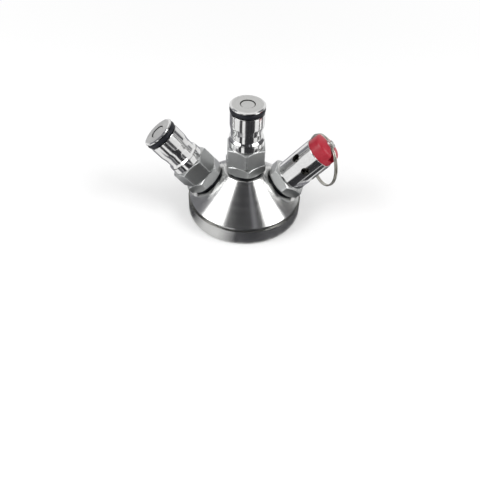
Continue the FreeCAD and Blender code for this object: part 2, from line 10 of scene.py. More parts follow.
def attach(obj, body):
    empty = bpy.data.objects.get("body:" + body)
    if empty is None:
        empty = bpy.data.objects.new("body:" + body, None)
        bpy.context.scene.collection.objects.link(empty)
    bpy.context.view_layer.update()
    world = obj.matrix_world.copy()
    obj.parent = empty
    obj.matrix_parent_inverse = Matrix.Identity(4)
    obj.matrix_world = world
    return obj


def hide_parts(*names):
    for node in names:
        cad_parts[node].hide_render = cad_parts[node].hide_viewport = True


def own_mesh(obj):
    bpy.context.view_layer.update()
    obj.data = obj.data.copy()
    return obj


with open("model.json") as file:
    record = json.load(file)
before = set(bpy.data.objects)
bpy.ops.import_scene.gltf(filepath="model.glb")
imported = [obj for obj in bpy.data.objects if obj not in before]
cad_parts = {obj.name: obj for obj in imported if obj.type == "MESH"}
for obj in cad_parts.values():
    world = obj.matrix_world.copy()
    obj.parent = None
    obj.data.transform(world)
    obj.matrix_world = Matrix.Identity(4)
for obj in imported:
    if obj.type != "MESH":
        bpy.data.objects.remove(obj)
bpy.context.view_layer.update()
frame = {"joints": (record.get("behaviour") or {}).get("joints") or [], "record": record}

bl_info = {
    "name": "Tapping Head",
    "version": (1, 0, 0),
    "blender": (4, 5, 0),
    "location": "View3D > Sidebar > Tapping Head",
    "description": "Builds the fine surfaces and finishes of a screw-on tapping head around its solids",
    "category": "Add Mesh",
}

MM = 0.001
BODY_OF = {node: body for body, nodes in frame["record"]["behaviour"]["bodies"].items() for node in nodes}

# Corner arcs are cut in steps of this angle, and sharper turns than SHARP_ANGLE are shaded as edges
ARC_STEP = math.radians(18)
SHARP_ANGLE = math.radians(38)
# Distances from a corner's arc at which an outline gets a further point, and how fast wear fades there
CORNER_STEPS = (0.04 * MM, 0.3 * MM, 0.9 * MM)
WEAR_FADE = 0.3 * MM
# A corner's arc takes at most this share of the shorter side next to it
CORNER_ROOM = 0.45
# Points nearer to each other than this are welded
MERGE_DISTANCE = 0.0004 * MM
# Columns round the axis of most pieces, of the plainer turned ones and of the body
COLUMNS = 144
PLAIN_COLUMNS = 96
BODY_COLUMNS = 240
# Columns round an O-ring's section, across a hexagon's flat and across its rounded corner
ORING_COLUMNS = 28
FLAT_COLUMNS = 13
CORNER_COLUMNS = 5
# How fast wear fades on a flat on the way from its corner, and the width of a hexagon's chamfer edge
CORNER_WEAR_FADE = 1.2 * MM
CHAMFER_BEVEL = 0.14 * MM
# How far the rods that cut the ports, the vents and the ring's eye reach
PORT_ROD_REACH = 20.0 * MM
VENT_ROD_REACH = 12.0 * MM
EYE_ROD_REACH = 6.0 * MM
# Each rod cuts two vents, one on each side of the barrel
VENT_RODS = 3
# Rows of the inside thread, and the plain stretch at its upper end
THREAD_ROWS = 90
THREAD_PLAIN = 0.4 * MM
TUBE_FLANGE_THICKNESS = 1.0 * MM
# Columns across the middle of a cap's lobe and across the slot's floor
LOBE_COLUMNS = 38
FLOOR_COLUMNS = 9

# Glowing grey cards seen in reflections alone: painted dark reflections round the object
# Name, bearing and width in degrees, lower and upper end in degrees over the floor, grey, distance in metres
SKY_REFLECTION_CARDS = (
    ("front_card", 8.0, 116.0, 20.0, 88.0, 0.05, 1.1),
    ("streak_card", 29.0, 7.0, 20.0, 88.0, 0.4, 1.0),
    ("low_front_card", 20.0, 50.0, -2.0, 21.0, 0.06, 1.08),
    ("left_card", -110.0, 56.0, -4.0, 62.0, 0.24, 1.1),
    ("right_card", 112.0, 62.0, 12.0, 62.0, 0.12, 1.1),
)
# Glowing grey cards over the floor, seen in reflections alone: painted dark reflections of the floor round
# the object
# Name, bearing and width in degrees, near and far end in millimetres, grey
FLOOR_REFLECTION_CARDS = (
    ("near_card", 142.0, 340.0, 30.6, 40.0, 0.08),
    ("middle_card", 0.0, 360.0, 40.0, 44.0, 0.22),
    ("front_near_card", 21.0, 66.0, 37.0, 96.0, 0.04),
    ("front_floor_card", 21.0, 66.0, 60.0, 500.0, 0.04),
    ("slim_floor_card", -37.0, 20.0, 44.0, 130.0, 0.04),
    ("left_flat_card", -57.0, 20.0, 44.0, 68.0, 0.15),
    ("right_flat_card", 66.0, 24.0, 44.0, 68.0, 0.05),
    ("right_floor_card", 104.0, 42.0, 44.0, 130.0, 0.16),
    ("left_floor_card", -128.0, 76.0, 44.0, 130.0, 0.25),
    ("back_floor_card", 178.0, 56.0, 70.0, 170.0, 0.3),
)
# Height of the lowest floor card, and the step up to each next one, in millimetres
FLOOR_CARD_HEIGHT = 0.15
FLOOR_CARD_STEP = 0.04
# Name, bearing and height in degrees, width and height in metres
SOFT_BOXES = (("left_box", -69.0, 42.0, 0.45, 0.4), ("right_box", 73.0, 42.0, 0.38, 0.4))
BOX_DISTANCE = 0.8
# Half the floor's side, and the distances between which the floor turns white
FLOOR_HALF = 6.0
FLOOR_FADE = (0.12, 0.4)
# Place in millimetres, and turns in degrees: down, aside and about the line of sight
CAMERA_PLACE = (2.943, -228.601, 204.167)
CAMERA_PITCH, CAMERA_YAW, CAMERA_ROLL = 45.36024, -1.092079, -2.0415944


def length(name, description, millimetres):
    """A property that holds a length in metres."""
    return bpy.props.FloatProperty(
        name=name, description=description, default=millimetres * MM, min=0.0, precision=5, unit="LENGTH"
    )


def angle(name, description, degrees):
    """A property that holds an angle."""
    return bpy.props.FloatProperty(
        name=name, description=description, default=math.radians(degrees), subtype="ANGLE"
    )


def colour(name, description, red, green, blue):
    """A property that holds a colour."""
    return bpy.props.FloatVectorProperty(
        name=name, description=description, default=(red, green, blue),
        size=3, min=0.0, max=1.0, subtype="COLOR",
    )


def amount(name, description, value, high=1.0):
    """A property that holds a plain number."""
    return bpy.props.FloatProperty(name=name, description=description, default=value, min=0.0, max=high)


class BodySizes(bpy.types.PropertyGroup):
    """Sizes of the turned body and its ports."""

    skirt_radius: length("Skirt radius", "Outer radius of the skirt", 30.0)
    skirt_height: length("Skirt height", "Height of the straight band under the cone", 9.3)
    crease_rounding: length("Crease rounding", "Rounding between the skirt's band and the cone", 2.2)
    cone_top_radius: length("Cone top radius", "Radius of the cone's flat top", 11.0)
    cone_top_height: length("Cone top height", "Height of the cone's flat top", 25.5)
    thread_crest: length("Thread crest radius", "Radius at the crests of the inside thread", 20.3)
    thread_root: length("Thread root radius", "Radius at the roots of the inside thread", 21.4)
    thread_pitch: length("Thread pitch", "Rise of one turn of the inside thread", 2.6)
    thread_end: length("Thread end", "Height at which the thread ends", 7.0)
    groove_radius: length("Groove radius", "Radius of the groove behind the neck gasket", 21.6)
    shoulder: length("Shoulder height", "Height of the shoulder over the neck gasket", 9.4)
    chamber_radius: length("Chamber radius", "Radius of the chamber at the shoulder", 16.9)
    chamber_height: length("Chamber height", "Height of the chamber's ceiling", 15.0)
    port_reach: length("Port reach", "Distance of the side ports from the axis", 20.1)
    spotface_radius: length("Spotface radius", "Radius of the flat cut around each side port", 11.4)
    port_radius: length("Port radius", "Radius of the ports' threads", 5.0)
    port_depth: length("Port depth", "Depth of the ports' threads", 4.6)
    passage_radius: length("Passage radius", "Radius of the passages into the chamber", 4.2)
    gasket_thickness: length("Gasket thickness", "Thickness of the flat seals under the fittings", 1.2)
    gasket_radius: length("Gasket radius", "Outer radius of the flat seals", 9.2)
    gasket_bore: length("Gasket bore", "Inner radius of the flat seals", 5.2)
    neck_gasket_bore: length("Neck gasket bore", "Inner radius of the neck gasket", 17.4)
    neck_gasket_radius: length("Neck gasket radius", "Outer radius of the neck gasket", 21.4)
    neck_gasket_thickness: length("Neck gasket thickness", "Thickness of the neck gasket", 1.6)


class PostSizes(bpy.types.PropertyGroup):
    """Sizes of the two posts, their adapters, poppets and the liquid tube."""

    adapter_flats: length("Adapter flats", "Width across the lower hexagon's flats", 19.0)
    adapter_height: length("Adapter height", "Height of the lower hexagon", 5.1)
    spigot_radius: length("Spigot radius", "Radius of the threaded spigot inside the post", 7.2)
    spigot_top: length("Spigot top", "Height of the spigot's end", 12.2)
    shoulder: length("Post shoulder", "Height at which the post's chamber begins", 13.2)
    male_radius: length("Foot radius", "Radius of the threaded foot in the port", 4.9)
    foot_height: length("Foot length", "How far the threaded foot reaches below the hexagon", 5.7)
    post_flats: length("Post flats", "Width across the post hexagon's flats", 18.8)
    post_hex_top: length("Post hexagon top", "Height of the post hexagon's upper face", 14.5)
    collar_radius: length("Collar radius", "Radius of the collar over the hexagon", 8.8)
    collar_top: length("Collar top", "Height of the collar's upper end", 18.65)
    groove_radius: length("Locking groove radius", "Radius at the floor of the locking groove", 7.9)
    groove_top: length("Locking groove top", "Height where the groove's floor ends", 22.9)
    slope_top: length("Slope top", "Height where the slope from the groove reaches the barrel", 26.2)
    barrel_radius: length("Barrel radius", "Radius of the polished barrel", 8.45)
    barrel_top: length("Barrel top", "Height of the barrel's upper end", 33.0)
    oring_top: length("O-ring groove top", "Height of the O-ring groove's upper end", 36.1)
    oring_centre: length("O-ring radius", "Radius to the middle of the O-ring's section", 7.3)
    oring_section: length("O-ring section", "Radius of the O-ring's section", 1.4)
    lip_radius: length("Lip radius", "Radius of the lip over the O-ring", 8.65)
    lip_face: length("Lip face radius", "Radius of the post's upper face", 7.8)
    top: length("Post top", "Height of the post's upper face", 37.0)
    mouth_radius: length("Mouth radius", "Radius of the post's mouth", 3.7)
    mouth_foot: length("Mouth foot", "Height at which the mouth opens into the seat", 32.1)
    seat_foot: length("Seat foot", "Height at which the seat meets the chamber", 30.9)
    chamber_radius: length("Chamber radius", "Radius of the post's chamber", 4.9)
    nose_radius: length("Poppet nose radius", "Radius of the poppet's nose", 3.4)
    flange_radius: length("Poppet flange radius", "Radius of the poppet's flange", 4.6)
    flange_foot: length("Poppet flange foot", "Height of the poppet flange's underside", 28.7)
    flange_top: length("Poppet flange top", "Height of the poppet flange's upper side", 30.5)
    tail_radius: length("Poppet tail radius", "Radius of the poppet's tail", 2.6)
    tail_foot: length("Poppet tail foot", "Height of the poppet tail's end", 23.9)
    nose_top: length("Poppet nose top", "Height of the poppet's nose", 36.75)
    spring_radius: length("Poppet spring radius", "Radius to the middle of the spring's wire", 3.9)
    spring_wire: length("Poppet spring wire", "Thickness of the spring's wire", 0.7)
    tube_radius: length("Tube radius", "Radius of the liquid tube in the adapter", 3.7)
    tube_bore: length("Tube bore", "Inner radius of the liquid tube", 2.9)
    hose_radius: length("Hose spigot radius", "Radius of the spigot for the dip hose", 3.97)
    hose_top: length("Hose spigot top", "Height over the skirt's foot of the hose spigot's upper end", 14.6)
    hose_foot: length("Hose spigot foot", "Height over the skirt's foot of the hose spigot's lower end", 1.2)
    tube_flange: length("Tube flange radius", "Radius of the liquid tube's flange", 6.4)
    tube_seal: length("Tube seal section", "Radius of the small O-ring's section", 0.6)
    liquid_adapter_turn: angle("Liquid adapter turn", "How far the upright adapter is screwed round", 40.6)
    liquid_post_turn: angle("Liquid post turn", "How far the upright post is screwed round", 33.0)
    gas_adapter_turn: angle("Gas adapter turn", "How far the leaning adapter is screwed round", 38.3)
    gas_post_turn: angle("Gas post turn", "How far the leaning post is screwed round", 19.0)


class ValveSizes(bpy.types.PropertyGroup):
    """Sizes of the relief valve, its cap, stem and ring."""

    flats: length("Hexagon flats", "Width across the valve hexagon's flats", 19.0)
    hex_top: length("Hexagon top", "Height of the hexagon's upper face", 5.4)
    barrel_radius: length("Barrel radius", "Radius of the valve's barrel", 8.45)
    inside_radius: length("Inside radius", "Inner radius of the barrel", 7.0)
    rim_radius: length("Rim radius", "Inner radius of the barrel's rim", 8.0)
    rim_height: length("Rim height", "Height of the barrel's rim", 26.0)
    floor: length("Floor height", "Height of the floor inside the barrel", 3.0)
    inlet_radius: length("Inlet radius", "Radius of the valve's inlet", 3.0)
    seat_radius: length("Seat radius", "Outer radius of the raised seat", 4.0)
    seat_height: length("Seat height", "Height of the raised seat", 3.6)
    vent_radius: length("Vent radius", "Radius of the vents", 2.2)
    vent_height: length("Vent height", "Height of the vents' centres", 17.0)
    cap_foot: length("Cap foot", "Height of the cap plug's lower face", 22.1)
    flange_foot: length("Cap flange foot", "Height of the cap flange's lower face", 24.2)
    plug_radius: length("Cap plug radius", "Radius of the cap's plug", 6.95)
    flange_radius: length("Cap flange radius", "Radius of the cap's flange", 7.95)
    cap_bore: length("Cap bore", "Radius of the cap's bore", 2.55)
    side_radius: length("Cap side radius", "Radius at the top of the cap's side", 7.75)
    side_top: length("Cap side top", "Height of the cap's side", 30.9)
    shoulder_inset: length("Cap shoulder inset", "How far the cap's shoulder draws in and rises", 1.3)
    shoulder_radius: length("Cap shoulder radius", "Radius of the cap's shoulder arc", 1.6)
    crown_radius: length("Cap crown radius", "Radius of the cap's crown arc", 21.0)
    crown_top: length("Cap crown top", "Height of the crown at the bore", 33.2)
    slot_half: length("Slot half width", "Half the slot's width at the stem", 1.55)
    slot_flare: length("Slot flare", "Half the slot's width at the rim", 2.6)
    slot_floor: length("Slot floor", "Height of the slot's floor", 28.9)
    slot_rounding: length("Slot rounding", "Rounding of the slot's edges", 0.4)
    stem_radius: length("Stem radius", "Radius of the guided rod", 2.5)
    stem_thin: length("Thin stem radius", "Radius of the stem's lower rod", 1.6)
    stem_step: length("Stem step", "Height at which the stem grows thicker", 20.1)
    stem_top: length("Stem top", "Height of the stem's head", 35.2)
    stem_crown: length("Stem crown", "Height of the head's rounded crown", 1.25)
    eye_height: length("Eye height", "Height of the eye's centre", 33.0)
    eye_radius: length("Eye radius", "Radius of the eye", 1.4)
    disc_radius: length("Disc radius", "Radius of the valve's disc", 5.7)
    disc_foot: length("Disc foot", "Height of the disc's lower face", 4.6)
    disc_top: length("Disc top", "Height of the disc's upper face", 6.6)
    hub_radius: length("Hub radius", "Radius of the disc's hub", 3.0)
    hub_top: length("Hub top", "Height of the disc's hub", 9.0)
    seal_radius: length("Seal radius", "Radius of the rubber face", 4.6)
    spring_radius: length("Spring radius", "Radius to the middle of the valve spring's wire", 4.6)
    spring_wire: length("Spring wire", "Thickness of the valve spring's wire", 0.9)
    ring_radius: length("Ring radius", "Radius to the middle of the ring's wire", 13.4)
    ring_wire: length("Ring wire", "Thickness of the ring's wire", 0.9)
    ring_gap: length("Ring gap", "Gap between the ring's two turns", 0.04)
    turn: angle("Valve turn", "How far the valve is screwed round", 20.0)
    slot_turn: angle("Slot turn", "How far the cap's slot is turned", 121.0)


class Finishes(bpy.types.PropertyGroup):
    """Colours and roughness of the finishes."""

    turned: colour("Turned steel", "Colour of the turned body", 0.62, 0.62, 0.61)
    turned_roughness: amount("Turned roughness", "Roughness of the turned body", 0.2)
    polished: colour("Polished steel", "Colour of the polished barrels", 0.74, 0.74, 0.735)
    polished_roughness: amount("Polished roughness", "Roughness of the polished barrels", 0.1)
    milled: colour("Milled steel", "Colour of the hexagons", 0.5, 0.51, 0.505)
    milled_roughness: amount("Milled roughness", "Roughness of the hexagons", 0.3)
    # A dark colour for bores and chambers: painted shade of their hollows
    bore_shade: colour("Bored steel with painted shade", "Colour of bores and chambers", 0.2, 0.2, 0.2)
    faced: colour("Faced steel", "Colour of the posts' upper faces", 0.62, 0.62, 0.61)
    wire: colour("Wire", "Colour of springs and ring", 0.6, 0.59, 0.55)
    rubber: colour("Rubber", "Colour of the seals", 0.008, 0.009, 0.013)
    plastic: colour("Red plastic", "Colour of the relief valve's cap", 0.39, 0.009, 0.026)


class StageSettings(bpy.types.PropertyGroup):
    """Floor, light and camera."""

    floor: colour("Floor", "Colour of the floor", 0.94, 0.94, 0.94)
    sky: amount("Sky light", "Strength of the even light from all round", 0.68, 4.0)
    box_power: amount("Soft box power", "Watts of each soft box", 2.4, 1000.0)
    lens: bpy.props.FloatProperty(name="Lens", description="Focal length", default=41.647, unit="CAMERA")


class TappingHeadSettings(bpy.types.PropertyGroup):
    """All settings of the tapping head."""

    body: bpy.props.PointerProperty(type=BodySizes)
    post: bpy.props.PointerProperty(type=PostSizes)
    valve: bpy.props.PointerProperty(type=ValveSizes)
    finish: bpy.props.PointerProperty(type=Finishes)
    stage: bpy.props.PointerProperty(type=StageSettings)


def settings():
    return bpy.context.scene.tapping_head


# Outlines and grids

def rounded(spots, closed=True):
    """Outline through (radius, height, rounding) spots. Each corner becomes an arc of its rounding's
    radius that touches both of its sides. Returns the points and how near each lies to a corner."""
    points, nearness = [], []
    count = len(spots)
    for index, (radius, height, rounding) in enumerate(spots):
        here = np.array([radius, height])
        at_end = not closed and index in (0, count - 1)
        if at_end or rounding == 0.0:
            points.append(here)
            nearness.append(0.0 if at_end else 0.5)
            continue
        before = np.array(spots[index - 1][:2]) - here
        after = np.array(spots[(index + 1) % count][:2]) - here
        room = CORNER_ROOM * min(np.linalg.norm(before), np.linalg.norm(after))
        before = before / np.linalg.norm(before)
        after = after / np.linalg.norm(after)
        turn = math.pi - math.acos(np.clip(before @ after, -1.0, 1.0))
        cut = min(rounding * math.tan(turn / 2), room)
        arc_radius = cut / math.tan(turn / 2)
        inward = (before + after) / np.linalg.norm(before + after)
        centre = here + inward * arc_radius / math.cos(turn / 2)
        steps = [step for step in CORNER_STEPS if cut + step < room]
        for step in reversed(steps):
            points.append(here + before * (cut + step))
            nearness.append(math.exp(-step / WEAR_FADE))
        start = here + before * cut - centre
        way = math.copysign(1.0, before[1] * after[0] - before[0] * after[1])
        finer = 3 if arc_radius > 1.0 * MM else 1
        for share in np.linspace(0.0, 1.0, max(2, math.ceil(turn * finer / ARC_STEP)) + 1):
            swing = -way * turn * share
            spin = np.array([[math.cos(swing), -math.sin(swing)], [math.sin(swing), math.cos(swing)]])
            points.append(centre + spin @ start)
            nearness.append(1.0)
        for step in steps:
            points.append(here + after * (cut + step))
            nearness.append(math.exp(-step / WEAR_FADE))
    if closed:
        points.append(points[0])
        nearness.append(nearness[0])
    return np.array(points), np.array(nearness)


def arc(start, finish, radius, steps):
    """Points of the anticlockwise arc of that radius between two (radius, height) spots, ends included."""
    start, finish = np.array(start), np.array(finish)
    chord = finish - start
    half = np.linalg.norm(chord) / 2
    left = np.array([-chord[1], chord[0]]) / (2 * half)
    centre = (start + finish) / 2 + left * math.sqrt(radius ** 2 - half ** 2)
    swing = 2 * math.asin(half / radius) * np.linspace(0.0, 1.0, steps + 1)[:, None]
    arm = start - centre
    across = np.array([-arm[1], arm[0]])
    return centre + arm * np.cos(swing) + across * np.sin(swing)


def around(radii, heights, angles):
    """Grid of points: each at its radius from the axis, its height and its angle round the axis."""
    radii, heights, angles = np.broadcast_arrays(radii, heights, angles)
    return np.stack([radii * np.cos(angles), radii * np.sin(angles), heights], axis=-1)


def full_circle(columns=COLUMNS):
    """Angles of evenly spaced columns round the axis, without the closing one."""
    return np.linspace(0.0, 2 * math.pi, columns, endpoint=False)


def port_frame(side):
    """Rotation and place of a port: on its seat, leant about Y so that it stands square on the cone."""
    body = settings().body
    rise = body.cone_top_height - body.skirt_height
    run = body.skirt_radius - body.cone_top_radius
    seat = body.skirt_height + (body.skirt_radius - body.port_reach) * rise / run
    way = {"centre": 0.0, "left": -1.0, "right": 1.0}[side]
    if way == 0.0:
        return np.eye(3), np.array([0.0, 0.0, body.cone_top_height + body.gasket_thickness])
    lean = way * math.atan2(rise, run)
    return turned_matrix(lean, "Y"), np.array([way * body.port_reach, 0.0, seat])


def turned_matrix(swing, axis):
    """Rotation by an angle about a named axis."""
    return np.array(Matrix.Rotation(swing, 3, axis))


class Shell:
    """One piece's surface, gathered from grids of points. Rows run along the outline and columns round
    the axis, so that each face's normal points outwards. The map holds metres round and along."""

    def __init__(self):
        self.points = []
        self.faces = []
        self.maps = []
        self.edges = []
        self.finishes = []
        self.total = 0

    def add(self, grid, wraps=True, finish=0, edge=0.0):
        """Adds a grid of (rows, columns, 3) points. Each face joins four neighbours."""
        rows, columns = grid.shape[:2]
        index = self.total + np.arange(rows * columns).reshape(rows, columns)
        closed = grid
        if wraps:
            index = np.concatenate([index, index[:, :1]], axis=1)
            closed = np.concatenate([grid, grid[:, :1]], axis=1)
        faces = np.stack([index[:-1, :-1], index[:-1, 1:], index[1:, 1:], index[1:, :-1]], axis=-1)
        round_steps = np.linalg.norm(np.diff(closed, axis=1), axis=2).mean(axis=0)
        along_steps = np.linalg.norm(np.diff(closed, axis=0), axis=2).mean(axis=1)
        round_map = np.concatenate([[0.0], np.cumsum(round_steps)])
        along_map = np.concatenate([[0.0], np.cumsum(along_steps)])
        place = np.stack(np.meshgrid(round_map, along_map), axis=-1)
        maps = np.stack([place[:-1, :-1], place[:-1, 1:], place[1:, 1:], place[1:, :-1]], axis=2)
        self.points.append(grid.reshape(-1, 3))
        self.faces.append(faces.reshape(-1, 4))
        self.maps.append(maps.reshape(-1, 2))
        self.edges.append(np.broadcast_to(edge, (rows, columns)).reshape(-1))
        finish_rows = np.broadcast_to(np.asarray(finish).reshape(-1, 1), (rows - 1, closed.shape[1] - 1))
        self.finishes.append(finish_rows.reshape(-1))
        self.total += rows * columns

    def turn_outline(self, spots, closed, columns):
        """Adds the surface that the rounded outline sweeps round the axis."""
        outline, nearness = rounded(spots, closed)
        grid = around(outline[:, :1], outline[:, 1:], full_circle(columns))
        self.add(grid, edge=nearness[:, None])

    def build(self, name, side, turn=0.0):
        """The mesh, turned about its own axis, laid in its port and welded where grids meet. Without a
        port it stays where it is."""
        lean, place = port_frame(side) if side else (np.eye(3), np.zeros(3))
        points = np.concatenate(self.points) @ (lean @ turned_matrix(turn, "Z")).T + place
        mesh = bpy.data.meshes.new(name)
        mesh.from_pydata(points.tolist(), [], np.concatenate(self.faces).tolist())
        mesh.polygons.foreach_set("material_index", np.concatenate(self.finishes).astype(np.int32))
        layer = mesh.uv_layers.new(name="pattern")
        layer.data.foreach_set("uv", np.concatenate(self.maps).astype(np.float32).ravel())
        wear = mesh.attributes.new("edge", "FLOAT", "POINT")
        wear.data.foreach_set("value", np.concatenate(self.edges).astype(np.float32))
        work = bmesh.new()
        work.from_mesh(mesh)
        bmesh.ops.remove_doubles(work, verts=work.verts, dist=MERGE_DISTANCE)
        work.to_mesh(mesh)
        work.free()
        return mesh


def carve(mesh, tool_meshes, finishes, materials):
    """The mesh with the closed tool meshes cut out of it. Each cut shows its own finish, a number in the
    list of materials."""
    for part in (mesh, *tool_meshes):
        for material in materials:
            part.materials.append(material)
    for tool_mesh, finish in zip(tool_meshes, finishes):
        tool_mesh.polygons.foreach_set("material_index", np.full(len(tool_mesh.polygons), finish, np.int32))
    target = bpy.data.objects.new("carved", mesh)
    bpy.context.scene.collection.objects.link(target)
    tools = []
    for tool_mesh in tool_meshes:
        tool = bpy.data.objects.new("tool", tool_mesh)
        bpy.context.scene.collection.objects.link(tool)
        cut = target.modifiers.new("cut", "BOOLEAN")
        cut.operation = "DIFFERENCE"
        cut.solver = "EXACT"
        cut.object = tool
        tools.append(tool)
    ready = target.evaluated_get(bpy.context.evaluated_depsgraph_get())
    carved = bpy.data.meshes.new_from_object(ready)
    for item in [target, *tools]:
        bpy.data.objects.remove(item)
    return carved


def rod(radius, low, high, columns=64):
    """Closed straight rod about Z between two heights."""
    shell = Shell()
    spots = [(0.0, low, 0.0), (radius, low, 0.0), (radius, high, 0.0), (0.0, high, 0.0)]
    shell.turn_outline(spots, False, columns)
    return shell


def cross_rod(radius, reach, height, swing, turn):
    """Mesh of a rod that lies across the valve's axis at a height, turned about that axis by the swing."""
    tool = rod(radius, -reach, reach)
    tilt = turned_matrix(swing, "Z") @ turned_matrix(math.pi / 2, "Y")
    tool.points = [points @ tilt.T + np.array([0.0, 0.0, height]) for points in tool.points]
    return tool.build("tool", "right", turn)


def dress(mesh, node, materials):
    """Makes the mesh a piece that stands for the node, with its finishes and body."""
    piece = bpy.data.objects.new(node + "_fine", mesh)
    bpy.context.scene.collection.objects.link(piece)
    finishes = np.zeros(len(mesh.polygons), np.int32)
    mesh.polygons.foreach_get("material_index", finishes)
    mesh.materials.clear()
    for material in materials:
        mesh.materials.append(material)
    mesh.polygons.foreach_set("material_index", finishes)
    mesh.polygons.foreach_set("use_smooth", np.ones(len(mesh.polygons), bool))
    mesh.set_sharp_from_angle(angle=SHARP_ANGLE)
    mesh.update()
    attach(piece, BODY_OF[node])
    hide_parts(node)
    return piece


def place_piece(shell, node, side, turn, *materials):
    """Builds the shell's mesh and makes it the node's piece."""
    return dress(shell.build(node + "_fine", side, turn), node, materials)


def turned_piece(node, side, spots, material, closed=True, columns=PLAIN_COLUMNS, turn=0.0):
    """A piece of one finish, turned from one outline."""
    shell = Shell()
    shell.turn_outline(spots, closed, columns)
    place_piece(shell, node, side, turn, material)


def hexagon_columns(flats, rounding):
    """Angles of the columns of a hexagon with rounded corners, and its radius at each of them.
    On a flat the radius is half the width over the cosine; on a corner it is where the ray meets the
    rounding's circle. A corner points along X."""
    half = flats / 2
    edge = math.atan((half - rounding) * math.tan(math.pi / 6) / half)
    flat_part = np.concatenate([[-edge], np.linspace(-edge + 0.02, edge - 0.02, FLAT_COLUMNS), [edge]])
    corner_part = np.linspace(edge, math.pi / 3 - edge, CORNER_COLUMNS + 2)[1:-1]
    sixth = np.concatenate([flat_part, corner_part])
    centre = (half - rounding) / math.cos(math.pi / 6)
    off = sixth - math.pi / 6
    on_flat = half / np.cos(sixth)
    on_corner = centre * np.cos(off) + np.sqrt(np.maximum(rounding ** 2 - (centre * np.sin(off)) ** 2, 0.0))
    radius = np.where(np.abs(sixth) <= edge + 1e-9, on_flat, on_corner)
    corner_nearness = np.exp(-np.abs(np.abs(sixth) - math.pi / 6) * half / CORNER_WEAR_FADE)
    angles = np.concatenate([sixth + math.pi / 3 * side + math.pi / 6 for side in range(6)])
    return angles, np.tile(radius, 6), np.tile(corner_nearness, 6)


def hexagon_rows(flats, foot, top, radius, corner_nearness):
    """Radii and heights of a hexagon's rows, chamfered at both ends by cones of 30 degrees. The chamfer
    meets a flat where the cone has grown to the flat's own radius, which draws the arcs on the flats."""
    half = flats / 2
    drop = (radius - half) * math.tan(math.pi / 6)
    slant = (radius - half) / math.cos(math.pi / 6)
    bevel = np.minimum(CHAMFER_BEVEL, slant * 0.45)
    inset = bevel * math.cos(math.pi / 6)
    sink = bevel * math.sin(math.pi / 6)
    ease = np.minimum(bevel + 0.25 * MM, slant * 0.8)
    rows = (
        (np.full_like(radius, half), np.zeros_like(radius), 0.6),
        (radius - ease * math.cos(math.pi / 6), drop - ease * math.sin(math.pi / 6), 0.1),
        (radius - inset, drop - sink, 0.9),
        (radius, drop + bevel, 0.9),
        (radius, drop + bevel + 0.3 * MM, 0.3),
        (radius, drop + bevel + 0.9 * MM, 0.0),
    )
    radii = np.stack([row[0] for row in rows])
    inward = np.stack([row[1] for row in rows])
    nearness = np.stack([np.maximum(row[2], corner_nearness) for row in rows])
    heights = np.concatenate([foot + inward, top - inward[::-1]])
    return np.concatenate([radii, radii[::-1]]), heights, np.concatenate([nearness, nearness[::-1]])


def add_hexagon_fitting(shell, lower, flats, foot, top, upper, finishes, rounding=0.35 * MM):
    """Adds a fitting with a hexagon: the lower outline, the hexagon's rows and the upper outline share
    the same columns. The outlines are open and meet the hexagon's end faces. Finishes are for the lower
    outline, the hexagon and the upper outline, the last one a function of the outline's heights."""
    angles, radius, corner_nearness = hexagon_columns(flats, rounding)
    low_points, low_near = rounded(lower, False)
    high_points, high_near = rounded(upper, False)
    hex_radii, hex_heights, hex_near = hexagon_rows(flats, foot, top, radius, corner_nearness)
    ones = np.ones((1, len(angles)))
    radii = np.concatenate([low_points[:, :1] * ones, hex_radii, high_points[:, :1] * ones])
    heights = np.concatenate([low_points[:, 1:] * ones, hex_heights, high_points[:, 1:] * ones])
    nearness = np.concatenate([low_near[:, None] * ones, hex_near, high_near[:, None] * ones])
    low_finish, hex_finish, high_finish = finishes
    bands = [np.full(len(low_points) - 1, low_finish), np.full(len(hex_radii) + 1, hex_finish)]
    middles = (high_points[:-1] + high_points[1:]) / 2
    bands.append(high_finish(middles) if callable(high_finish) else np.full(len(middles), high_finish))
    shell.add(around(radii, heights, angles), finish=np.concatenate(bands).astype(int), edge=nearness)


def wound_wire(turns, radius, wire, height_at, steps_per_turn=64, wire_columns=16):
    """Closed round wire wound about Z. The middle line's radius is constant and its height is a function
    of the turns made. The section stands square to the line, and the ends are domed."""
    made = np.linspace(0.0, turns, int(turns * steps_per_turn) + 1)
    swing = 2 * math.pi * made
    line = np.stack([radius * np.cos(swing), radius * np.sin(swing), height_at(made)], axis=1)
    along = np.gradient(line, axis=0)
    along /= np.linalg.norm(along, axis=1)[:, None]
    outward = np.stack([np.cos(swing), np.sin(swing), np.zeros_like(swing)], axis=1)
    outward -= (outward * along).sum(axis=1)[:, None] * along
    outward /= np.linalg.norm(outward, axis=1)[:, None]
    upward = np.cross(along, outward)
    cap = np.array([0.0, 0.5, 0.8, 0.95])
    sections = np.concatenate([cap, np.ones(len(made)), cap[::-1]]) * wire / 2
    shift = -np.sqrt(1 - cap ** 2) * wire / 4
    line = np.concatenate([
        line[:1] + along[:1] * shift[:, None], line, line[-1:] - along[-1:] * shift[::-1, None]
    ])
    outward = np.concatenate([np.repeat(outward[:1], 4, axis=0), outward, np.repeat(outward[-1:], 4, axis=0)])
    upward = np.concatenate([np.repeat(upward[:1], 4, axis=0), upward, np.repeat(upward[-1:], 4, axis=0)])
    section = full_circle(wire_columns)[None, :, None]
    size = sections[:, None, None]
    grid = line[:, None] + size * (np.cos(section) * outward[:, None] - np.sin(section) * upward[:, None])
    shell = Shell()
    shell.add(grid[:, ::-1])
    return shell


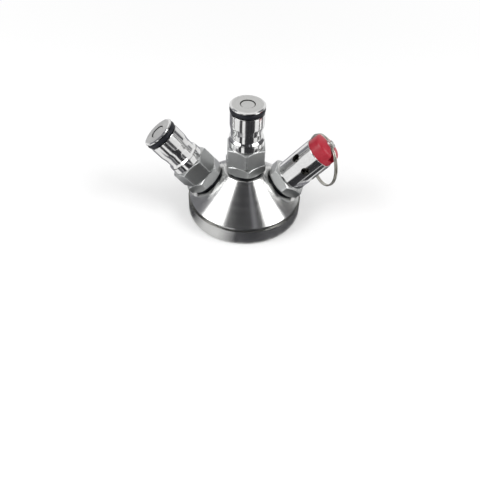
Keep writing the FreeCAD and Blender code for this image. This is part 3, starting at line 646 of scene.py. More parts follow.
def spring_heights(low, high, turns, wire):
    """Height of a spring's wire against the turns made: three quarters of a closed turn at each end, and
    an even rise between them."""
    closed = 0.75

    def height_at(made):
        rise = np.clip((made - closed) / (turns - 2 * closed), 0.0, 1.0)
        lift = rise * rise * (3 - 2 * rise) * 0.25 + rise * 0.75
        first = np.clip(made / closed, 0.0, 1.0) * wire * 0.8
        last = np.clip((made - turns + closed) / closed, 0.0, 1.0) * wire * 0.8
        span = high - low - wire - 1.6 * wire
        return low + wire / 2 + first + lift * span + last
    return height_at


# Shader building

def put(tree, kind, inputs=None, **values):
    """Adds a node, sets its values and fills its inputs with constants or links."""
    node = tree.nodes.new(kind)
    for key, value in values.items():
        setattr(node, key, value)
    for key, value in (inputs or {}).items():
        if isinstance(value, bpy.types.NodeSocket):
            tree.links.new(value, node.inputs[key])
        else:
            node.inputs[key].default_value = value
    return node


def maths(tree, operation, first, second=0.0, clamp=False):
    return put(tree, "ShaderNodeMath", {0: first, 1: second}, operation=operation, use_clamp=clamp).outputs[0]


def blend_colours(tree, share, first, second):
    return put(tree, "ShaderNodeMix", {0: share, 6: first, 7: second}, data_type="RGBA").outputs[2]


def span(tree, value, low, high, new_low, new_high):
    """Maps a value from one range to another, and holds it there."""
    return put(tree, "ShaderNodeMapRange", {0: value, 1: low, 2: high, 3: new_low, 4: new_high}).outputs[0]


def scaled(tree, value, factor):
    """The value times a factor."""
    return maths(tree, "MULTIPLY", value, factor)


def noise(tree, place, scale, detail, **more):
    """Noise at a place, as a number."""
    inputs = {"Vector": place, "Scale": scale, "Detail": detail, **more}
    return put(tree, "ShaderNodeTexNoise", inputs).outputs[0]


def line_noise(tree, along, scale, detail, **more):
    """Noise that changes in one direction alone, as a number."""
    inputs = {"W": along, "Scale": scale, "Detail": detail, **more}
    return put(tree, "ShaderNodeTexNoise", inputs, noise_dimensions="1D").outputs[0]


def turning_marks(tree, entry):
    """Rings left by a lathe tool: noise along the outline alone, coarse and fine, with a slow drift."""
    along = put(tree, "ShaderNodeSeparateXYZ", {0: entry[0]}).outputs[1]
    fine = line_noise(tree, along, entry[1], 3.0, Roughness=0.6)
    slow = line_noise(tree, along, scaled(tree, entry[1], 0.16), 2.0)
    return maths(tree, "ADD", fine, scaled(tree, slow, 0.5)), slow


def edge_wear(tree, entry):
    """Bright, rubbed edges: the edge value broken up by noise."""
    broken = span(tree, noise(tree, entry[1], entry[3], 4.0, Roughness=0.65), 0.35, 0.65, 0.25, 1.0)
    sharp = span(tree, maths(tree, "MULTIPLY", entry[0], broken), 0.25, 0.85, 0.0, 1.0)
    return (maths(tree, "MULTIPLY", sharp, entry[2], clamp=True),)


def handling_marks(tree, entry):
    """Faint smears and hairline scratches: wide soft noise, and thin lines where stretched noise crosses
    its middle value."""
    smear = span(tree, noise(tree, entry[0], entry[1], 5.0, Distortion=0.8), 0.35, 0.7, 0.0, 1.0)
    along = {"Vector": entry[0], "Rotation": (0.5, 0.3, 0.8), "Scale": (1.0, 0.06, 0.5)}
    stretch = put(tree, "ShaderNodeMapping", along)
    lines = noise(tree, stretch.outputs[0], 700.0, 2.0)
    off = maths(tree, "ABSOLUTE", maths(tree, "SUBTRACT", lines, 0.5))
    return smear, span(tree, off, 0.0, 0.012, 1.0, 0.0)


# Each group's name, the names and kinds of its inputs, and the names of its outputs
MARKS = {
    turning_marks: (
        "Turning marks", (("Pattern", "Vector"), ("Marks per metre", "Float")), ("Height", "Drift"),
    ),
    edge_wear: (
        "Edge wear",
        (("Edge", "Float"), ("Place", "Vector"), ("Amount", "Float"), ("Scale", "Float")), ("Mask",),
    ),
    handling_marks: (
        "Handling marks", (("Place", "Vector"), ("Smear scale", "Float")), ("Smear", "Scratch"),
    ),
}


def marks(tree, fill, *values):
    """Outputs of a node group that the function fills when it is first asked for."""
    name, inputs, outputs = MARKS[fill]
    if name not in bpy.data.node_groups:
        group = bpy.data.node_groups.new(name, "ShaderNodeTree")
        for label, kind in inputs:
            group.interface.new_socket(name=label, in_out="INPUT", socket_type="NodeSocket" + kind)
        for label in outputs:
            group.interface.new_socket(name=label, in_out="OUTPUT", socket_type="NodeSocketFloat")
        results = fill(group, put(group, "NodeGroupInput").outputs)
        put(group, "NodeGroupOutput", dict(enumerate(results)))
    return put(tree, "ShaderNodeGroup", dict(enumerate(values)), node_tree=bpy.data.node_groups[name]).outputs


def new_material(name):
    """A material and its empty tree. Where the material is there already, its tree is given as None."""
    if name in bpy.data.materials:
        return bpy.data.materials[name], None
    material = bpy.data.materials.new(name)
    material.use_nodes = True
    material.node_tree.nodes.clear()
    return material, material.node_tree


def rgba(values, factor=1.0):
    """A colour times a factor, with full cover."""
    return (values[0] * factor, values[1] * factor, values[2] * factor, 1.0)


def place_in(tree):
    """Object coordinates."""
    return put(tree, "ShaderNodeTexCoord").outputs["Object"]


def pattern_in(tree):
    """The pattern map, in metres round and along a piece."""
    return put(tree, "ShaderNodeUVMap", uv_map="pattern").outputs[0]


def edge_in(tree):
    """The edge value, which is 1 on a corner and fades beside it."""
    return put(tree, "ShaderNodeAttribute", attribute_name="edge").outputs["Fac"]


def finish_tree(tree, shader):
    tree.links.new(shader.outputs[0], put(tree, "ShaderNodeOutputMaterial").inputs[0])


def principled(tree, shade, rough, relief, strength, depth, more):
    """Joins a bump and a principled shader to the tree's output."""
    bump = put(tree, "ShaderNodeBump", {"Strength": strength, "Distance": depth, "Height": relief})
    inputs = {"Base Color": shade, "Roughness": rough, "Normal": bump.outputs[0], **more}
    finish_tree(tree, put(tree, "ShaderNodeBsdfPrincipled", inputs))


def lathe_metal(name, base, roughness, anisotropy, rings_per_metre, depth, wear, tint=0.1):
    """Turned steel: rings along the outline in bump and roughness, smears, hairlines and rubbed edges.
    The highlights stretch square to the rings."""
    material, tree = new_material(name)
    if tree is None:
        return material
    place = place_in(tree)
    rings = marks(tree, turning_marks, pattern_in(tree), rings_per_metre)
    hands = marks(tree, handling_marks, place, 110.0)
    rubbed = marks(tree, edge_wear, edge_in(tree), place, wear, 900.0)[0]
    dark = rgba(base, 1.0 - tint)
    bright = rgba([min(value * 1.28, 0.86) for value in base])
    shade = blend_colours(tree, span(tree, rings[0], 0.35, 1.1, 0.0, 1.0), dark, rgba(base))
    shade = blend_colours(tree, scaled(tree, hands[0], 0.12), shade, dark)
    shade = blend_colours(tree, rubbed, shade, bright)
    rough = maths(tree, "ADD", roughness, scaled(tree, hands[0], 0.03))
    rough = maths(tree, "ADD", rough, scaled(tree, rings[1], 0.05))
    rough = maths(tree, "SUBTRACT", rough, scaled(tree, rubbed, 0.08), clamp=True)
    relief = maths(tree, "SUBTRACT", rings[0], scaled(tree, hands[1], 0.1))
    tangent = put(tree, "ShaderNodeTangent", direction_type="UV_MAP", uv_map="pattern").outputs[0]
    principled(tree, shade, rough, relief, 0.6, depth, {
        "Metallic": 1.0, "Anisotropic": anisotropy, "Anisotropic Rotation": 0.25, "Tangent": tangent
    })
    return material


def turned_steel():
    finish = settings().finish
    return lathe_metal("Turned steel", finish.turned, finish.turned_roughness, 0.85, 2600.0, 0.004 * MM, 0.5)


def polished_steel():
    finish = settings().finish
    return lathe_metal(
        "Polished steel", finish.polished, finish.polished_roughness, 0.2, 3500.0, 0.0008 * MM, 0.4
    )


def faced_steel():
    """The posts' upper faces: fine rings of a facing cut, nearly matt."""
    return lathe_metal("Faced steel", settings().finish.faced, 0.42, 0.35, 5200.0, 0.005 * MM, 0.5, 0.2)


def shaded_inner_steel():
    """Bores and chambers, which a boring tool leaves coarser, in a dark colour that paints the shade inside
    them.
    """
    return lathe_metal("Bored steel with painted shade", settings().finish.bore_shade, 0.4, 0.3, 2200.0, 0.01 * MM, 0.3, 0.25)


def milled_steel():
    """Hexagon flats: a fine blasted grain with faint milling lines, smears and rubbed edges."""
    material, tree = new_material("Milled steel")
    if tree is None:
        return material
    finish = settings().finish
    place = place_in(tree)
    hands = marks(tree, handling_marks, place, 140.0)
    rubbed = marks(tree, edge_wear, edge_in(tree), place, 0.45, 700.0)[0]
    grain = noise(tree, place, 5200.0, 3.0)
    milling = marks(tree, turning_marks, pattern_in(tree), 2400.0)[0]
    dark = rgba(finish.milled, 0.78)
    shade = blend_colours(tree, span(tree, grain, 0.35, 0.65, 0.0, 1.0), dark, rgba(finish.milled))
    shade = blend_colours(tree, scaled(tree, hands[0], 0.25), shade, dark)
    shade = blend_colours(tree, rubbed, shade, rgba(finish.milled, 1.8))
    rough = maths(tree, "ADD", finish.milled_roughness, scaled(tree, hands[0], 0.08))
    rough = maths(tree, "SUBTRACT", rough, scaled(tree, rubbed, 0.1), clamp=True)
    relief = maths(tree, "ADD", grain, scaled(tree, milling, 0.5))
    relief = maths(tree, "SUBTRACT", relief, scaled(tree, hands[1], 0.5))
    principled(tree, shade, rough, relief, 0.5, 0.006 * MM, {"Metallic": 1.0})
    return material


def drawn_wire():
    """Drawn spring wire: fine lines along the wire and a faint tarnish."""
    material, tree = new_material("Drawn wire")
    if tree is None:
        return material
    stretch = put(tree, "ShaderNodeMapping", {"Vector": pattern_in(tree), "Scale": (9000.0, 120.0, 1.0)})
    lines = noise(tree, stretch.outputs[0], 1.0, 3.0)
    tarnish = marks(tree, handling_marks, place_in(tree), 260.0)[0]
    shade = blend_colours(tree, tarnish, rgba(settings().finish.wire), rgba([0.36, 0.34, 0.29]))
    rough = span(tree, lines, 0.3, 0.7, 0.18, 0.34)
    principled(tree, shade, rough, lines, 0.5, 0.003 * MM, {"Metallic": 1.0})
    return material


def black_rubber():
    """Moulded rubber: a dry, dusty bloom over near black, with a fine grain."""
    material, tree = new_material("Black rubber")
    if tree is None:
        return material
    place = place_in(tree)
    bloom = marks(tree, handling_marks, place, 320.0)[0]
    grain = noise(tree, place, 4200.0, 4.0)
    dusty = rgba([0.02, 0.022, 0.03])
    shade = blend_colours(tree, scaled(tree, bloom, 0.5), rgba(settings().finish.rubber), dusty)
    rough = span(tree, grain, 0.3, 0.7, 0.38, 0.55)
    principled(tree, shade, rough, grain, 0.4, 0.006 * MM, {"Specular IOR Level": 0.25})
    return material


def red_plastic():
    """Moulded plastic: faint mottling, a fine moulded grain, rubbed and paler at its edges."""
    material, tree = new_material("Red plastic")
    if tree is None:
        return material
    plastic = settings().finish.plastic
    place = place_in(tree)
    hands = marks(tree, handling_marks, place, 150.0)
    rubbed = marks(tree, edge_wear, edge_in(tree), place, 0.45, 1100.0)[0]
    grain = noise(tree, place, 2600.0, 4.0)
    pale = rgba([0.56, 0.05, 0.075])
    shade = blend_colours(tree, span(tree, grain, 0.3, 0.7, 0.0, 0.5), rgba(plastic), rgba(plastic, 0.8))
    shade = blend_colours(tree, scaled(tree, hands[0], 0.35), shade, pale)
    shade = blend_colours(tree, rubbed, shade, pale)
    rough = maths(tree, "ADD", 0.32, scaled(tree, hands[0], 0.14))
    relief = maths(tree, "SUBTRACT", grain, hands[1])
    principled(tree, shade, rough, relief, 0.4, 0.01 * MM, {"Specular IOR Level": 0.45})
    return material


# The turned body and its seals

def body_outline():
    """The body's section: skirt, cone, port bore, chamber, shoulder and gasket groove. The thread's own
    stretch is left to thread_grid."""
    body = settings().body
    rise = body.cone_top_height - body.skirt_height
    run = body.skirt_radius - body.cone_top_radius
    chamber_edge = body.chamber_radius - (body.chamber_height - body.shoulder) * run / rise
    thread_floor = body.cone_top_height - body.port_depth
    fine = 0.15 * MM
    return [
        (body.thread_root + 0.4 * MM, 0.0, fine),
        (body.skirt_radius, 0.0, 0.5 * MM),
        (body.skirt_radius, body.skirt_height, body.crease_rounding),
        (body.cone_top_radius, body.cone_top_height, 0.3 * MM),
        (body.port_radius, body.cone_top_height, fine),
        (body.port_radius, thread_floor, 0.0),
        (body.passage_radius, thread_floor, 0.0),
        (body.passage_radius, body.chamber_height, fine),
        (chamber_edge, body.chamber_height, fine),
        (body.chamber_radius, body.shoulder, fine),
        (body.groove_radius, body.shoulder, fine),
        (body.groove_radius, body.thread_end, 0.0),
        (body.thread_crest, body.thread_end, fine),
        (body.thread_crest, body.thread_end - THREAD_PLAIN, 0.0),
    ]


def thread_grid(columns):
    """Inside thread: the radius follows a rounded saw of the height less the helix's rise at that angle,
    and runs out to the crest at the top and to the root at the foot."""
    body = settings().body
    angles = full_circle(columns)
    heights = np.linspace(body.thread_end - THREAD_PLAIN, 0.5 * MM, THREAD_ROWS)[:, None]
    phase = (heights / body.thread_pitch - angles / (2 * math.pi)) % 1.0
    groove = np.clip((0.36 - np.abs(phase - 0.5)) / 0.2, 0.0, 1.0)
    groove = groove * groove * (3 - 2 * groove)
    fade = np.clip((body.thread_end - THREAD_PLAIN - heights) / (0.8 * MM), 0.0, 1.0)
    depth = body.thread_root - body.thread_crest
    radii = body.thread_crest + depth * groove * fade
    entry = np.clip((1.3 * MM - heights) / (0.8 * MM), 0.0, 1.0)
    radii = np.maximum(radii, body.thread_crest + entry * (depth + 0.2 * MM))
    foot = np.full((1, columns), body.thread_root + 0.4 * MM)
    radii = np.concatenate([radii, foot])
    heights = np.concatenate([np.broadcast_to(heights, (THREAD_ROWS, columns)), np.zeros((1, columns))])
    return around(radii, heights, angles)


def build_body():
    """Turned cone with spotfaces, port threads and passages, and the inside thread."""
    body = settings().body
    shell = Shell()
    outline, nearness = rounded(body_outline(), False)
    bore_start = int(np.argmax(outline[:, 0] <= body.port_radius + 0.01 * MM))
    # From the port bore inwards, and on the inside thread, the body is dark inner steel: painted shade
    finish = np.where(np.arange(len(outline) - 1) >= bore_start, 1, 0)
    grid = around(outline[:, :1], outline[:, 1:], full_circle(BODY_COLUMNS))
    shell.add(grid, finish=finish, edge=nearness[:, None])
    shell.add(thread_grid(BODY_COLUMNS), finish=1)
    mesh = shell.build("coupler_body_fine", None)
    materials = [turned_steel(), shaded_inner_steel()]
    tools = []
    for side in ("left", "right"):
        for radius, low in (
            (body.spotface_radius, -body.gasket_thickness),
            (body.port_radius, -body.gasket_thickness - body.port_depth),
            (body.passage_radius, -(body.skirt_radius - body.chamber_radius)),
        ):
            tools.append(rod(radius, low, PORT_ROD_REACH, 128).build("tool", side))
    # The port threads and passages are dark inner steel, painted shade; the spotfaces stay turned steel
    mesh = carve(mesh, tools, (0, 1, 1, 0, 1, 1), materials)
    dress(mesh, "coupler_body", materials)


def build_flat_seals():
    """Flat rubber seals: rings with rounded rims."""
    body = settings().body
    thick, ease = body.gasket_thickness, 0.3 * MM
    for node, side in (
        ("liquid_adapter_gasket", "centre"), ("gas_adapter_gasket", "left"), ("valve_gasket", "right")
    ):
        turned_piece(node, side, [
            (body.gasket_bore, -thick, 0.1 * MM), (body.gasket_radius, -thick, ease),
            (body.gasket_radius, 0.0, ease), (body.gasket_bore, 0.0, 0.1 * MM),
        ], black_rubber(), columns=COLUMNS)
    low, high = body.shoulder - body.neck_gasket_thickness, body.shoulder
    inner, outer = body.neck_gasket_bore, body.neck_gasket_radius
    spots = [(inner, low, ease), (outer, low, ease), (outer, high, ease), (inner, high, ease)]
    turned_piece("neck_gasket", None, spots, black_rubber(), columns=COLUMNS)


def torus(centre, section, height, flattening):
    """O-ring: a circle carried round the axis. Its width is the section's, times the flattening."""
    swing = full_circle(ORING_COLUMNS)[:, None]
    radii = centre + section * flattening * np.cos(swing)
    shell = Shell()
    grid = around(radii, height + section * np.sin(swing), full_circle(COLUMNS))
    shell.add(np.concatenate([grid, grid[:1]]))
    return shell


def build_orings():
    """The O-ring under each post's lip, and the small one round the liquid tube."""
    post = settings().post
    height = (post.barrel_top + post.oring_top) / 2
    for node, side in (("liquid_post_oring", "centre"), ("gas_post_oring", "left")):
        shell = torus(post.oring_centre, post.oring_section, height, 1.0)
        place_piece(shell, node, side, 0.0, black_rubber())
    shell = torus(post.tube_radius + post.tube_seal, post.tube_seal, post.spigot_top - post.tube_seal, 0.94)
    place_piece(shell, "liquid_tube_oring", "centre", 0.0, black_rubber())


# Posts

def post_sides():
    """Name, port and turn of each post."""
    post = settings().post
    return ("liquid", "centre", post.liquid_post_turn), ("gas", "left", post.gas_post_turn)


def threaded_foot(bore, top, flats, top_rounding=0.0):
    """Outline of a fitting's threaded foot: from a height in the bore down, round and up to the hexagon."""
    post = settings().post
    fine, ease = 0.12 * MM, 0.5 * MM
    return [
        (bore, top, top_rounding), (bore, -post.foot_height, fine),
        (post.male_radius - ease, -post.foot_height, fine),
        (post.male_radius, -post.foot_height + ease, fine),
        (post.male_radius, 0.0, fine), (flats / 2 - 0.5 * MM, 0.0, 0.0),
    ]


def build_adapters():
    """Lower hexagons with their feet in the ports and their spigots inside the posts."""
    post = settings().post
    fine, ease = 0.12 * MM, 0.5 * MM
    for node, side, turn, bore, tip in (
        ("liquid_adapter", "centre", post.liquid_adapter_turn, post.hose_radius + 0.08 * MM, post.spigot_top),
        ("gas_adapter", "left", post.gas_adapter_turn, post.tube_bore, post.shoulder),
    ):
        lower = threaded_foot(bore, post.adapter_height, post.adapter_flats)
        upper = [
            (post.spigot_radius + 0.3 * MM, post.adapter_height, 0.0),
            (post.spigot_radius, post.adapter_height, 0.0),
            (post.spigot_radius, tip - ease, fine), (post.spigot_radius - ease, tip, fine),
        ]
        if side == "centre":
            recess = post.tube_radius + 2 * post.tube_seal + 0.08 * MM
            recess_floor = tip - 2 * post.tube_seal
            upper += [(recess, tip, fine), (recess, recess_floor, 0.0), (bore, recess_floor, 0.0)]
        else:
            upper.append((bore, tip, fine))
        upper.append((bore, post.adapter_height, 0.0))
        shell = Shell()
        # The foot in the port, the bore and the spigot inside the post are dark inner steel: painted shade
        add_hexagon_fitting(shell, lower, post.adapter_flats, 0.0, post.adapter_height, upper, (1, 0, 1))
        place_piece(shell, node, side, turn, milled_steel(), shaded_inner_steel())


def build_posts():
    """Ball-lock posts: milled hexagon, polished collar, locking groove and barrel, O-ring groove, lip."""
    post = settings().post
    fine, ease = 0.12 * MM, 0.4 * MM
    female = post.spigot_radius + 0.1 * MM
    groove_floor = post.oring_centre - post.oring_section
    middle = post.shoulder + 4 * MM
    lower = [
        (post.chamber_radius, middle, 0.0), (post.chamber_radius, post.shoulder, 0.0),
        (female, post.shoulder, 0.0), (female, post.adapter_height, fine),
        (post.post_flats / 2 - 0.5 * MM, post.adapter_height, 0.0),
    ]
    upper = [
        (post.collar_radius + 0.3 * MM, post.post_hex_top, 0.0),
        (post.collar_radius, post.post_hex_top, 0.1 * MM),
        (post.collar_radius, post.collar_top - ease, 0.8 * MM),
        (post.groove_radius, post.collar_top + ease, 0.8 * MM),
        (post.groove_radius, post.groove_top, 3.0 * MM),
        (post.barrel_radius, post.slope_top, 3.0 * MM),
        (post.barrel_radius, post.barrel_top, 0.2 * MM), (groove_floor, post.barrel_top, 0.1 * MM),
        (groove_floor, post.oring_top, 0.1 * MM), (post.lip_radius, post.oring_top, 0.15 * MM),
        (post.lip_radius, post.top - ease, 0.2 * MM), (post.lip_face, post.top, 0.2 * MM),
        (post.mouth_radius, post.top, 0.1 * MM), (post.mouth_radius, post.mouth_foot, 0.0),
        (post.chamber_radius, post.seat_foot, 0.0), (post.chamber_radius, middle, 0.0),
    ]

    def finish_of(middles):
        """Faced steel on the upper face, dark inner steel with painted shade in the mouth and chamber,
        polished outside.
        """
        face = (middles[:, 1] > post.top - 0.02 * MM) & (middles[:, 0] < post.lip_face)
        inside = middles[:, 0] < max(post.mouth_radius, post.chamber_radius) + 0.05 * MM
        return np.where(face & (middles[:, 0] > post.mouth_radius), 2, np.where(inside, 3, 1))

    for prefix, side, turn in post_sides():
        shell = Shell()
        # The bore under the hexagon is dark inner steel: painted shade
        add_hexagon_fitting(
            shell, lower, post.post_flats, post.adapter_height, post.post_hex_top, upper, (3, 0, finish_of)
        )
        materials = milled_steel(), polished_steel(), faced_steel(), shaded_inner_steel()
        place_piece(shell, prefix + "_post", side, turn, *materials)


def build_poppets():
    """Plungers in the posts' mouths with a faintly crowned nose, and their rubber rings."""
    post = settings().post
    ease = 0.25 * MM
    seal_foot = post.seat_foot + (post.chamber_radius - post.flange_radius)
    seal_inner, seal_top = post.mouth_radius + 0.1 * MM, post.mouth_foot - 0.1 * MM
    for prefix, side, turn in post_sides():
        turned_piece(prefix + "_poppet", side, [
            (0.0, post.tail_foot, 0.0), (post.tail_radius, post.tail_foot, ease),
            (post.tail_radius, post.flange_foot, 0.1 * MM), (post.flange_radius, post.flange_foot, 0.15 * MM),
            (post.flange_radius, post.flange_top, 0.15 * MM), (post.nose_radius, post.flange_top, 0.1 * MM),
            (post.nose_radius, post.nose_top - 0.05 * MM, 0.14 * MM), (0.0, post.nose_top, 0.0),
        ], faced_steel(), False, turn=turn)
        turned_piece(prefix + "_poppet_seal", side, [
            (post.nose_radius, post.flange_top, 0.05 * MM), (post.flange_radius, post.flange_top, 0.05 * MM),
            (post.flange_radius, seal_foot, 0.1 * MM), (seal_inner, seal_top, 0.05 * MM),
            (post.nose_radius, seal_top, 0.05 * MM),
        ], black_rubber(), turn=turn)


def add_spring(node, side, turn, radius, wire, turns, low, high, joint_name):
    """A compression spring at rest. Its joint's travel is read, but the spring is not made to shorten with
    it.
    """
    shell = wound_wire(turns, radius, wire, spring_heights(low, high, turns, wire))
    piece = place_piece(shell, node, side, turn, drawn_wire())
    joint = next(item for item in frame["joints"] if item["name"] == joint_name)
    travel = max(abs(end) for end in joint["range_m"])
    lean, place = port_frame(side)
    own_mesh(piece)


def build_poppet_springs():
    """Springs that press the poppets up against their seats."""
    post = settings().post
    for prefix, side, turn in post_sides():
        add_spring(
            prefix + "_poppet_spring", side, turn, post.spring_radius, post.spring_wire, 6.0,
            post.shoulder, post.flange_foot, prefix + "_poppet_push",
        )


def build_liquid_tube():
    """Flanged tube through the upright adapter that ends in the spigot for the dip hose."""
    post = settings().post
    floor = port_frame("centre")[1][2]
    foot, top = post.hose_foot - floor, post.hose_top - floor
    flange_low = post.shoulder - TUBE_FLANGE_THICKNESS
    fine, ease = 0.15 * MM, 0.4 * MM
    turned_piece("liquid_tube", "centre", [
        (post.tube_bore, foot, fine), (post.hose_radius - ease, foot, fine),
        (post.hose_radius, foot + ease, fine), (post.hose_radius, top, fine), (post.tube_radius, top, 0.0),
        (post.tube_radius, flange_low, 0.1 * MM), (post.tube_flange, flange_low, fine),
        (post.tube_flange, post.shoulder, fine), (post.tube_bore, post.shoulder, fine),
    ], faced_steel())


# Relief valve

def build_valve_body():
    """Polished barrel with six vents over a milled hexagon; its rim is rolled in over the cap."""
    valve = settings().valve
    middle = (valve.floor + valve.flange_foot) / 2
    lower = [
        (valve.inside_radius, middle, 0.0), (valve.inside_radius, valve.floor, 0.2 * MM),
        (valve.seat_radius, valve.floor, 0.1 * MM), (valve.seat_radius, valve.seat_height, 0.15 * MM),
        *threaded_foot(valve.inlet_radius, valve.seat_height, valve.flats, 0.15 * MM),
    ]
    upper = [
        (valve.barrel_radius + 0.5 * MM, valve.hex_top, 0.0), (valve.barrel_radius, valve.hex_top, 0.1 * MM),
        (valve.barrel_radius, valve.rim_height, 0.22 * MM), (valve.rim_radius, valve.rim_height, 0.12 * MM),
        (valve.rim_radius, valve.flange_foot, 0.0), (valve.inside_radius, valve.flange_foot, 0.0),
        (valve.inside_radius, middle, 0.0),
    ]

    def finish_of(middles):
        """Polished steel outside, dark inner steel with painted shade inside."""
        return np.where(middles[:, 0] > valve.rim_radius + 0.05 * MM, 1, 2)

    shell = Shell()
    add_hexagon_fitting(shell, lower, valve.flats, 0.0, valve.hex_top, upper, (2, 0, finish_of))
    mesh = shell.build("valve_body_fine", "right", valve.turn)
    tools = []
    for number in range(VENT_RODS):
        swing = number * math.pi / VENT_RODS
        tools.append(cross_rod(valve.vent_radius, VENT_ROD_REACH, valve.vent_height, swing, valve.turn))
    materials = [milled_steel(), polished_steel(), shaded_inner_steel()]
    # The vents' walls are dark inner steel: painted shade
    mesh = carve(mesh, tools, [2] * VENT_RODS, materials)
    dress(mesh, "valve_body", materials)


def cap_outline():
    """Stations of the cap's lobes from the slot's floor over side, shoulder and crown to the bore, with
    the outward normal at each."""
    valve = settings().valve
    side_foot = valve.flange_radius + (valve.side_radius - valve.flange_radius) * (
        (valve.slot_floor - valve.rim_height) / (valve.side_top - valve.rim_height)
    )
    shoulder = (valve.side_radius - valve.shoulder_inset, valve.side_top + valve.shoulder_inset)
    side = np.stack([
        np.linspace(side_foot, valve.side_radius, 8), np.linspace(valve.slot_floor, valve.side_top, 8)
    ], axis=1)
    bend = arc((valve.side_radius, valve.side_top), shoulder, valve.shoulder_radius, 10)
    crown = arc(shoulder, (valve.cap_bore + 0.3 * MM, valve.crown_top), valve.crown_radius, 14)
    ease = np.array([[valve.cap_bore + 0.1 * MM, valve.crown_top - 0.06 * MM],
                     [valve.cap_bore, valve.crown_top - 0.25 * MM]])
    stations = np.concatenate([side, bend[1:], crown[1:], ease])
    along = np.gradient(stations, axis=0)
    normal = np.stack([along[:, 1], -along[:, 0]], axis=1)
    return stations, normal / np.linalg.norm(normal, axis=1)[:, None]


def slot_angle(radii):
    """Angle from the slot's middle line at which a circle of each radius meets the slot's wall."""
    valve = settings().valve
    slope = (valve.slot_flare - valve.slot_half) / (valve.barrel_radius - valve.stem_radius)
    swing = np.arcsin(np.clip(valve.slot_half / radii, 0.0, 1.0))
    for _ in range(8):
        wall = valve.slot_half + np.maximum(radii * np.cos(swing) - valve.stem_radius, 0.0) * slope
        swing = np.arcsin(np.clip(wall / radii, 0.0, 1.0))
    return swing


def build_cap():
    """Crowned red cap with a flared slot. Each lobe is a polar grid between the slot's walls; near a wall
    the surface sinks along its normal by the rounding's circle, and the wall drops to the slot's floor."""
    valve = settings().valve
    stations, normal = cap_outline()
    radii, heights = stations[:, :1], stations[:, 1:]
    wall = slot_angle(radii)
    rounding = valve.slot_rounding
    quarter = np.linspace(0.0, math.pi / 2, 6)
    steps = np.concatenate([rounding * (1 - np.cos(quarter)), [rounding + 0.05 * MM, rounding + 0.4 * MM]])
    fan = steps[None, :] / (radii * np.cos(wall))
    inner = wall + fan
    middle = np.linspace(0.0, 1.0, LOBE_COLUMNS + 2)[None, 1:-1]
    across = inner[:, -1:] + (math.pi - 2 * inner[:, -1:]) * middle
    lobe = np.concatenate([inner, across, math.pi - inner[:, ::-1]], axis=1)
    depth = rounding - np.sqrt(np.maximum(rounding ** 2 - np.maximum(rounding - steps, 0.0) ** 2, 0.0))
    depth = np.concatenate([depth, np.zeros(LOBE_COLUMNS), depth[::-1]])[None, :]
    fade = np.clip((heights - valve.slot_floor) / (0.9 * MM), 0.0, 1.0)
    sink = depth * fade * fade * (3 - 2 * fade)
    lobe_radii = radii - normal[:, :1] * sink
    lobe_heights = heights - normal[:, 1:] * sink
    edge = np.exp(-np.concatenate([steps, np.full(LOBE_COLUMNS, 1.0), steps[::-1]]) / WEAR_FADE)[None, :]
    shell = Shell()
    lobe_grids = []
    for swing in (0.0, math.pi):
        grid = around(lobe_radii, lobe_heights, lobe + swing)
        lobe_grids.append(grid)
        shell.add(grid, wraps=False, edge=edge * np.ones_like(lobe))
        foot = around(valve.cap_bore, valve.slot_floor, lobe[-1:] + swing)
        shell.add(np.concatenate([grid[-1:], foot]), wraps=False)
    floor_columns = np.linspace(0.0, 1.0, FLOOR_COLUMNS)[None, :, None]
    for own, other in ((0, 1), (1, 0)):
        left_wall = lobe_grids[own][:, 0].copy()
        right_wall = lobe_grids[other][:, -1].copy()
        for line, flip in ((left_wall, False), (right_wall, True)):
            low = line.copy()
            low[:, 2] = valve.slot_floor
            strip = np.stack([low, line] if not flip else [line, low], axis=1)
            shell.add(strip, wraps=False)
        left_wall[:, 2] = valve.slot_floor
        right_wall[:, 2] = valve.slot_floor
        floor = right_wall[:, None] * (1 - floor_columns) + left_wall[:, None] * floor_columns
        reach = np.hypot(floor[:, :, 0], floor[:, :, 1])
        on_circle = np.hypot(left_wall[:, 0], left_wall[:, 1])[:, None] / reach
        floor[:, :, :2] *= on_circle[:, :, None]
        shell.add(floor, wraps=False)
    half_gap = np.linspace(-1.0, 1.0, FLOOR_COLUMNS)[1:-1]

    def ring_angles(row):
        """Angles of a whole ring of columns: both lobes and both gaps at a station."""
        gap = half_gap * lobe[row, 0]
        return np.concatenate([lobe[row], math.pi + gap, lobe[row] + math.pi, 2 * math.pi + gap])

    outer_angles, bore_angles = ring_angles(0), ring_angles(-1)
    below = rounded([
        (valve.cap_bore, valve.slot_floor, 0.0), (valve.cap_bore, valve.cap_foot, 0.15 * MM),
        (valve.plug_radius, valve.cap_foot, 0.2 * MM), (valve.plug_radius, valve.flange_foot, 0.0),
        (valve.flange_radius, valve.flange_foot, 0.1 * MM), (valve.flange_radius, valve.rim_height, 0.0),
        (stations[0, 0], valve.slot_floor, 0.0),
    ], False)[0]
    share = np.clip((below[:, :1] - valve.cap_bore) / (valve.plug_radius - valve.cap_bore), 0.0, 1.0)
    angles = bore_angles * (1 - share) + outer_angles * share
    shell.add(around(below[:, :1], below[:, 1:], angles))
    place_piece(shell, "valve_cap", "right", valve.slot_turn, red_plastic())


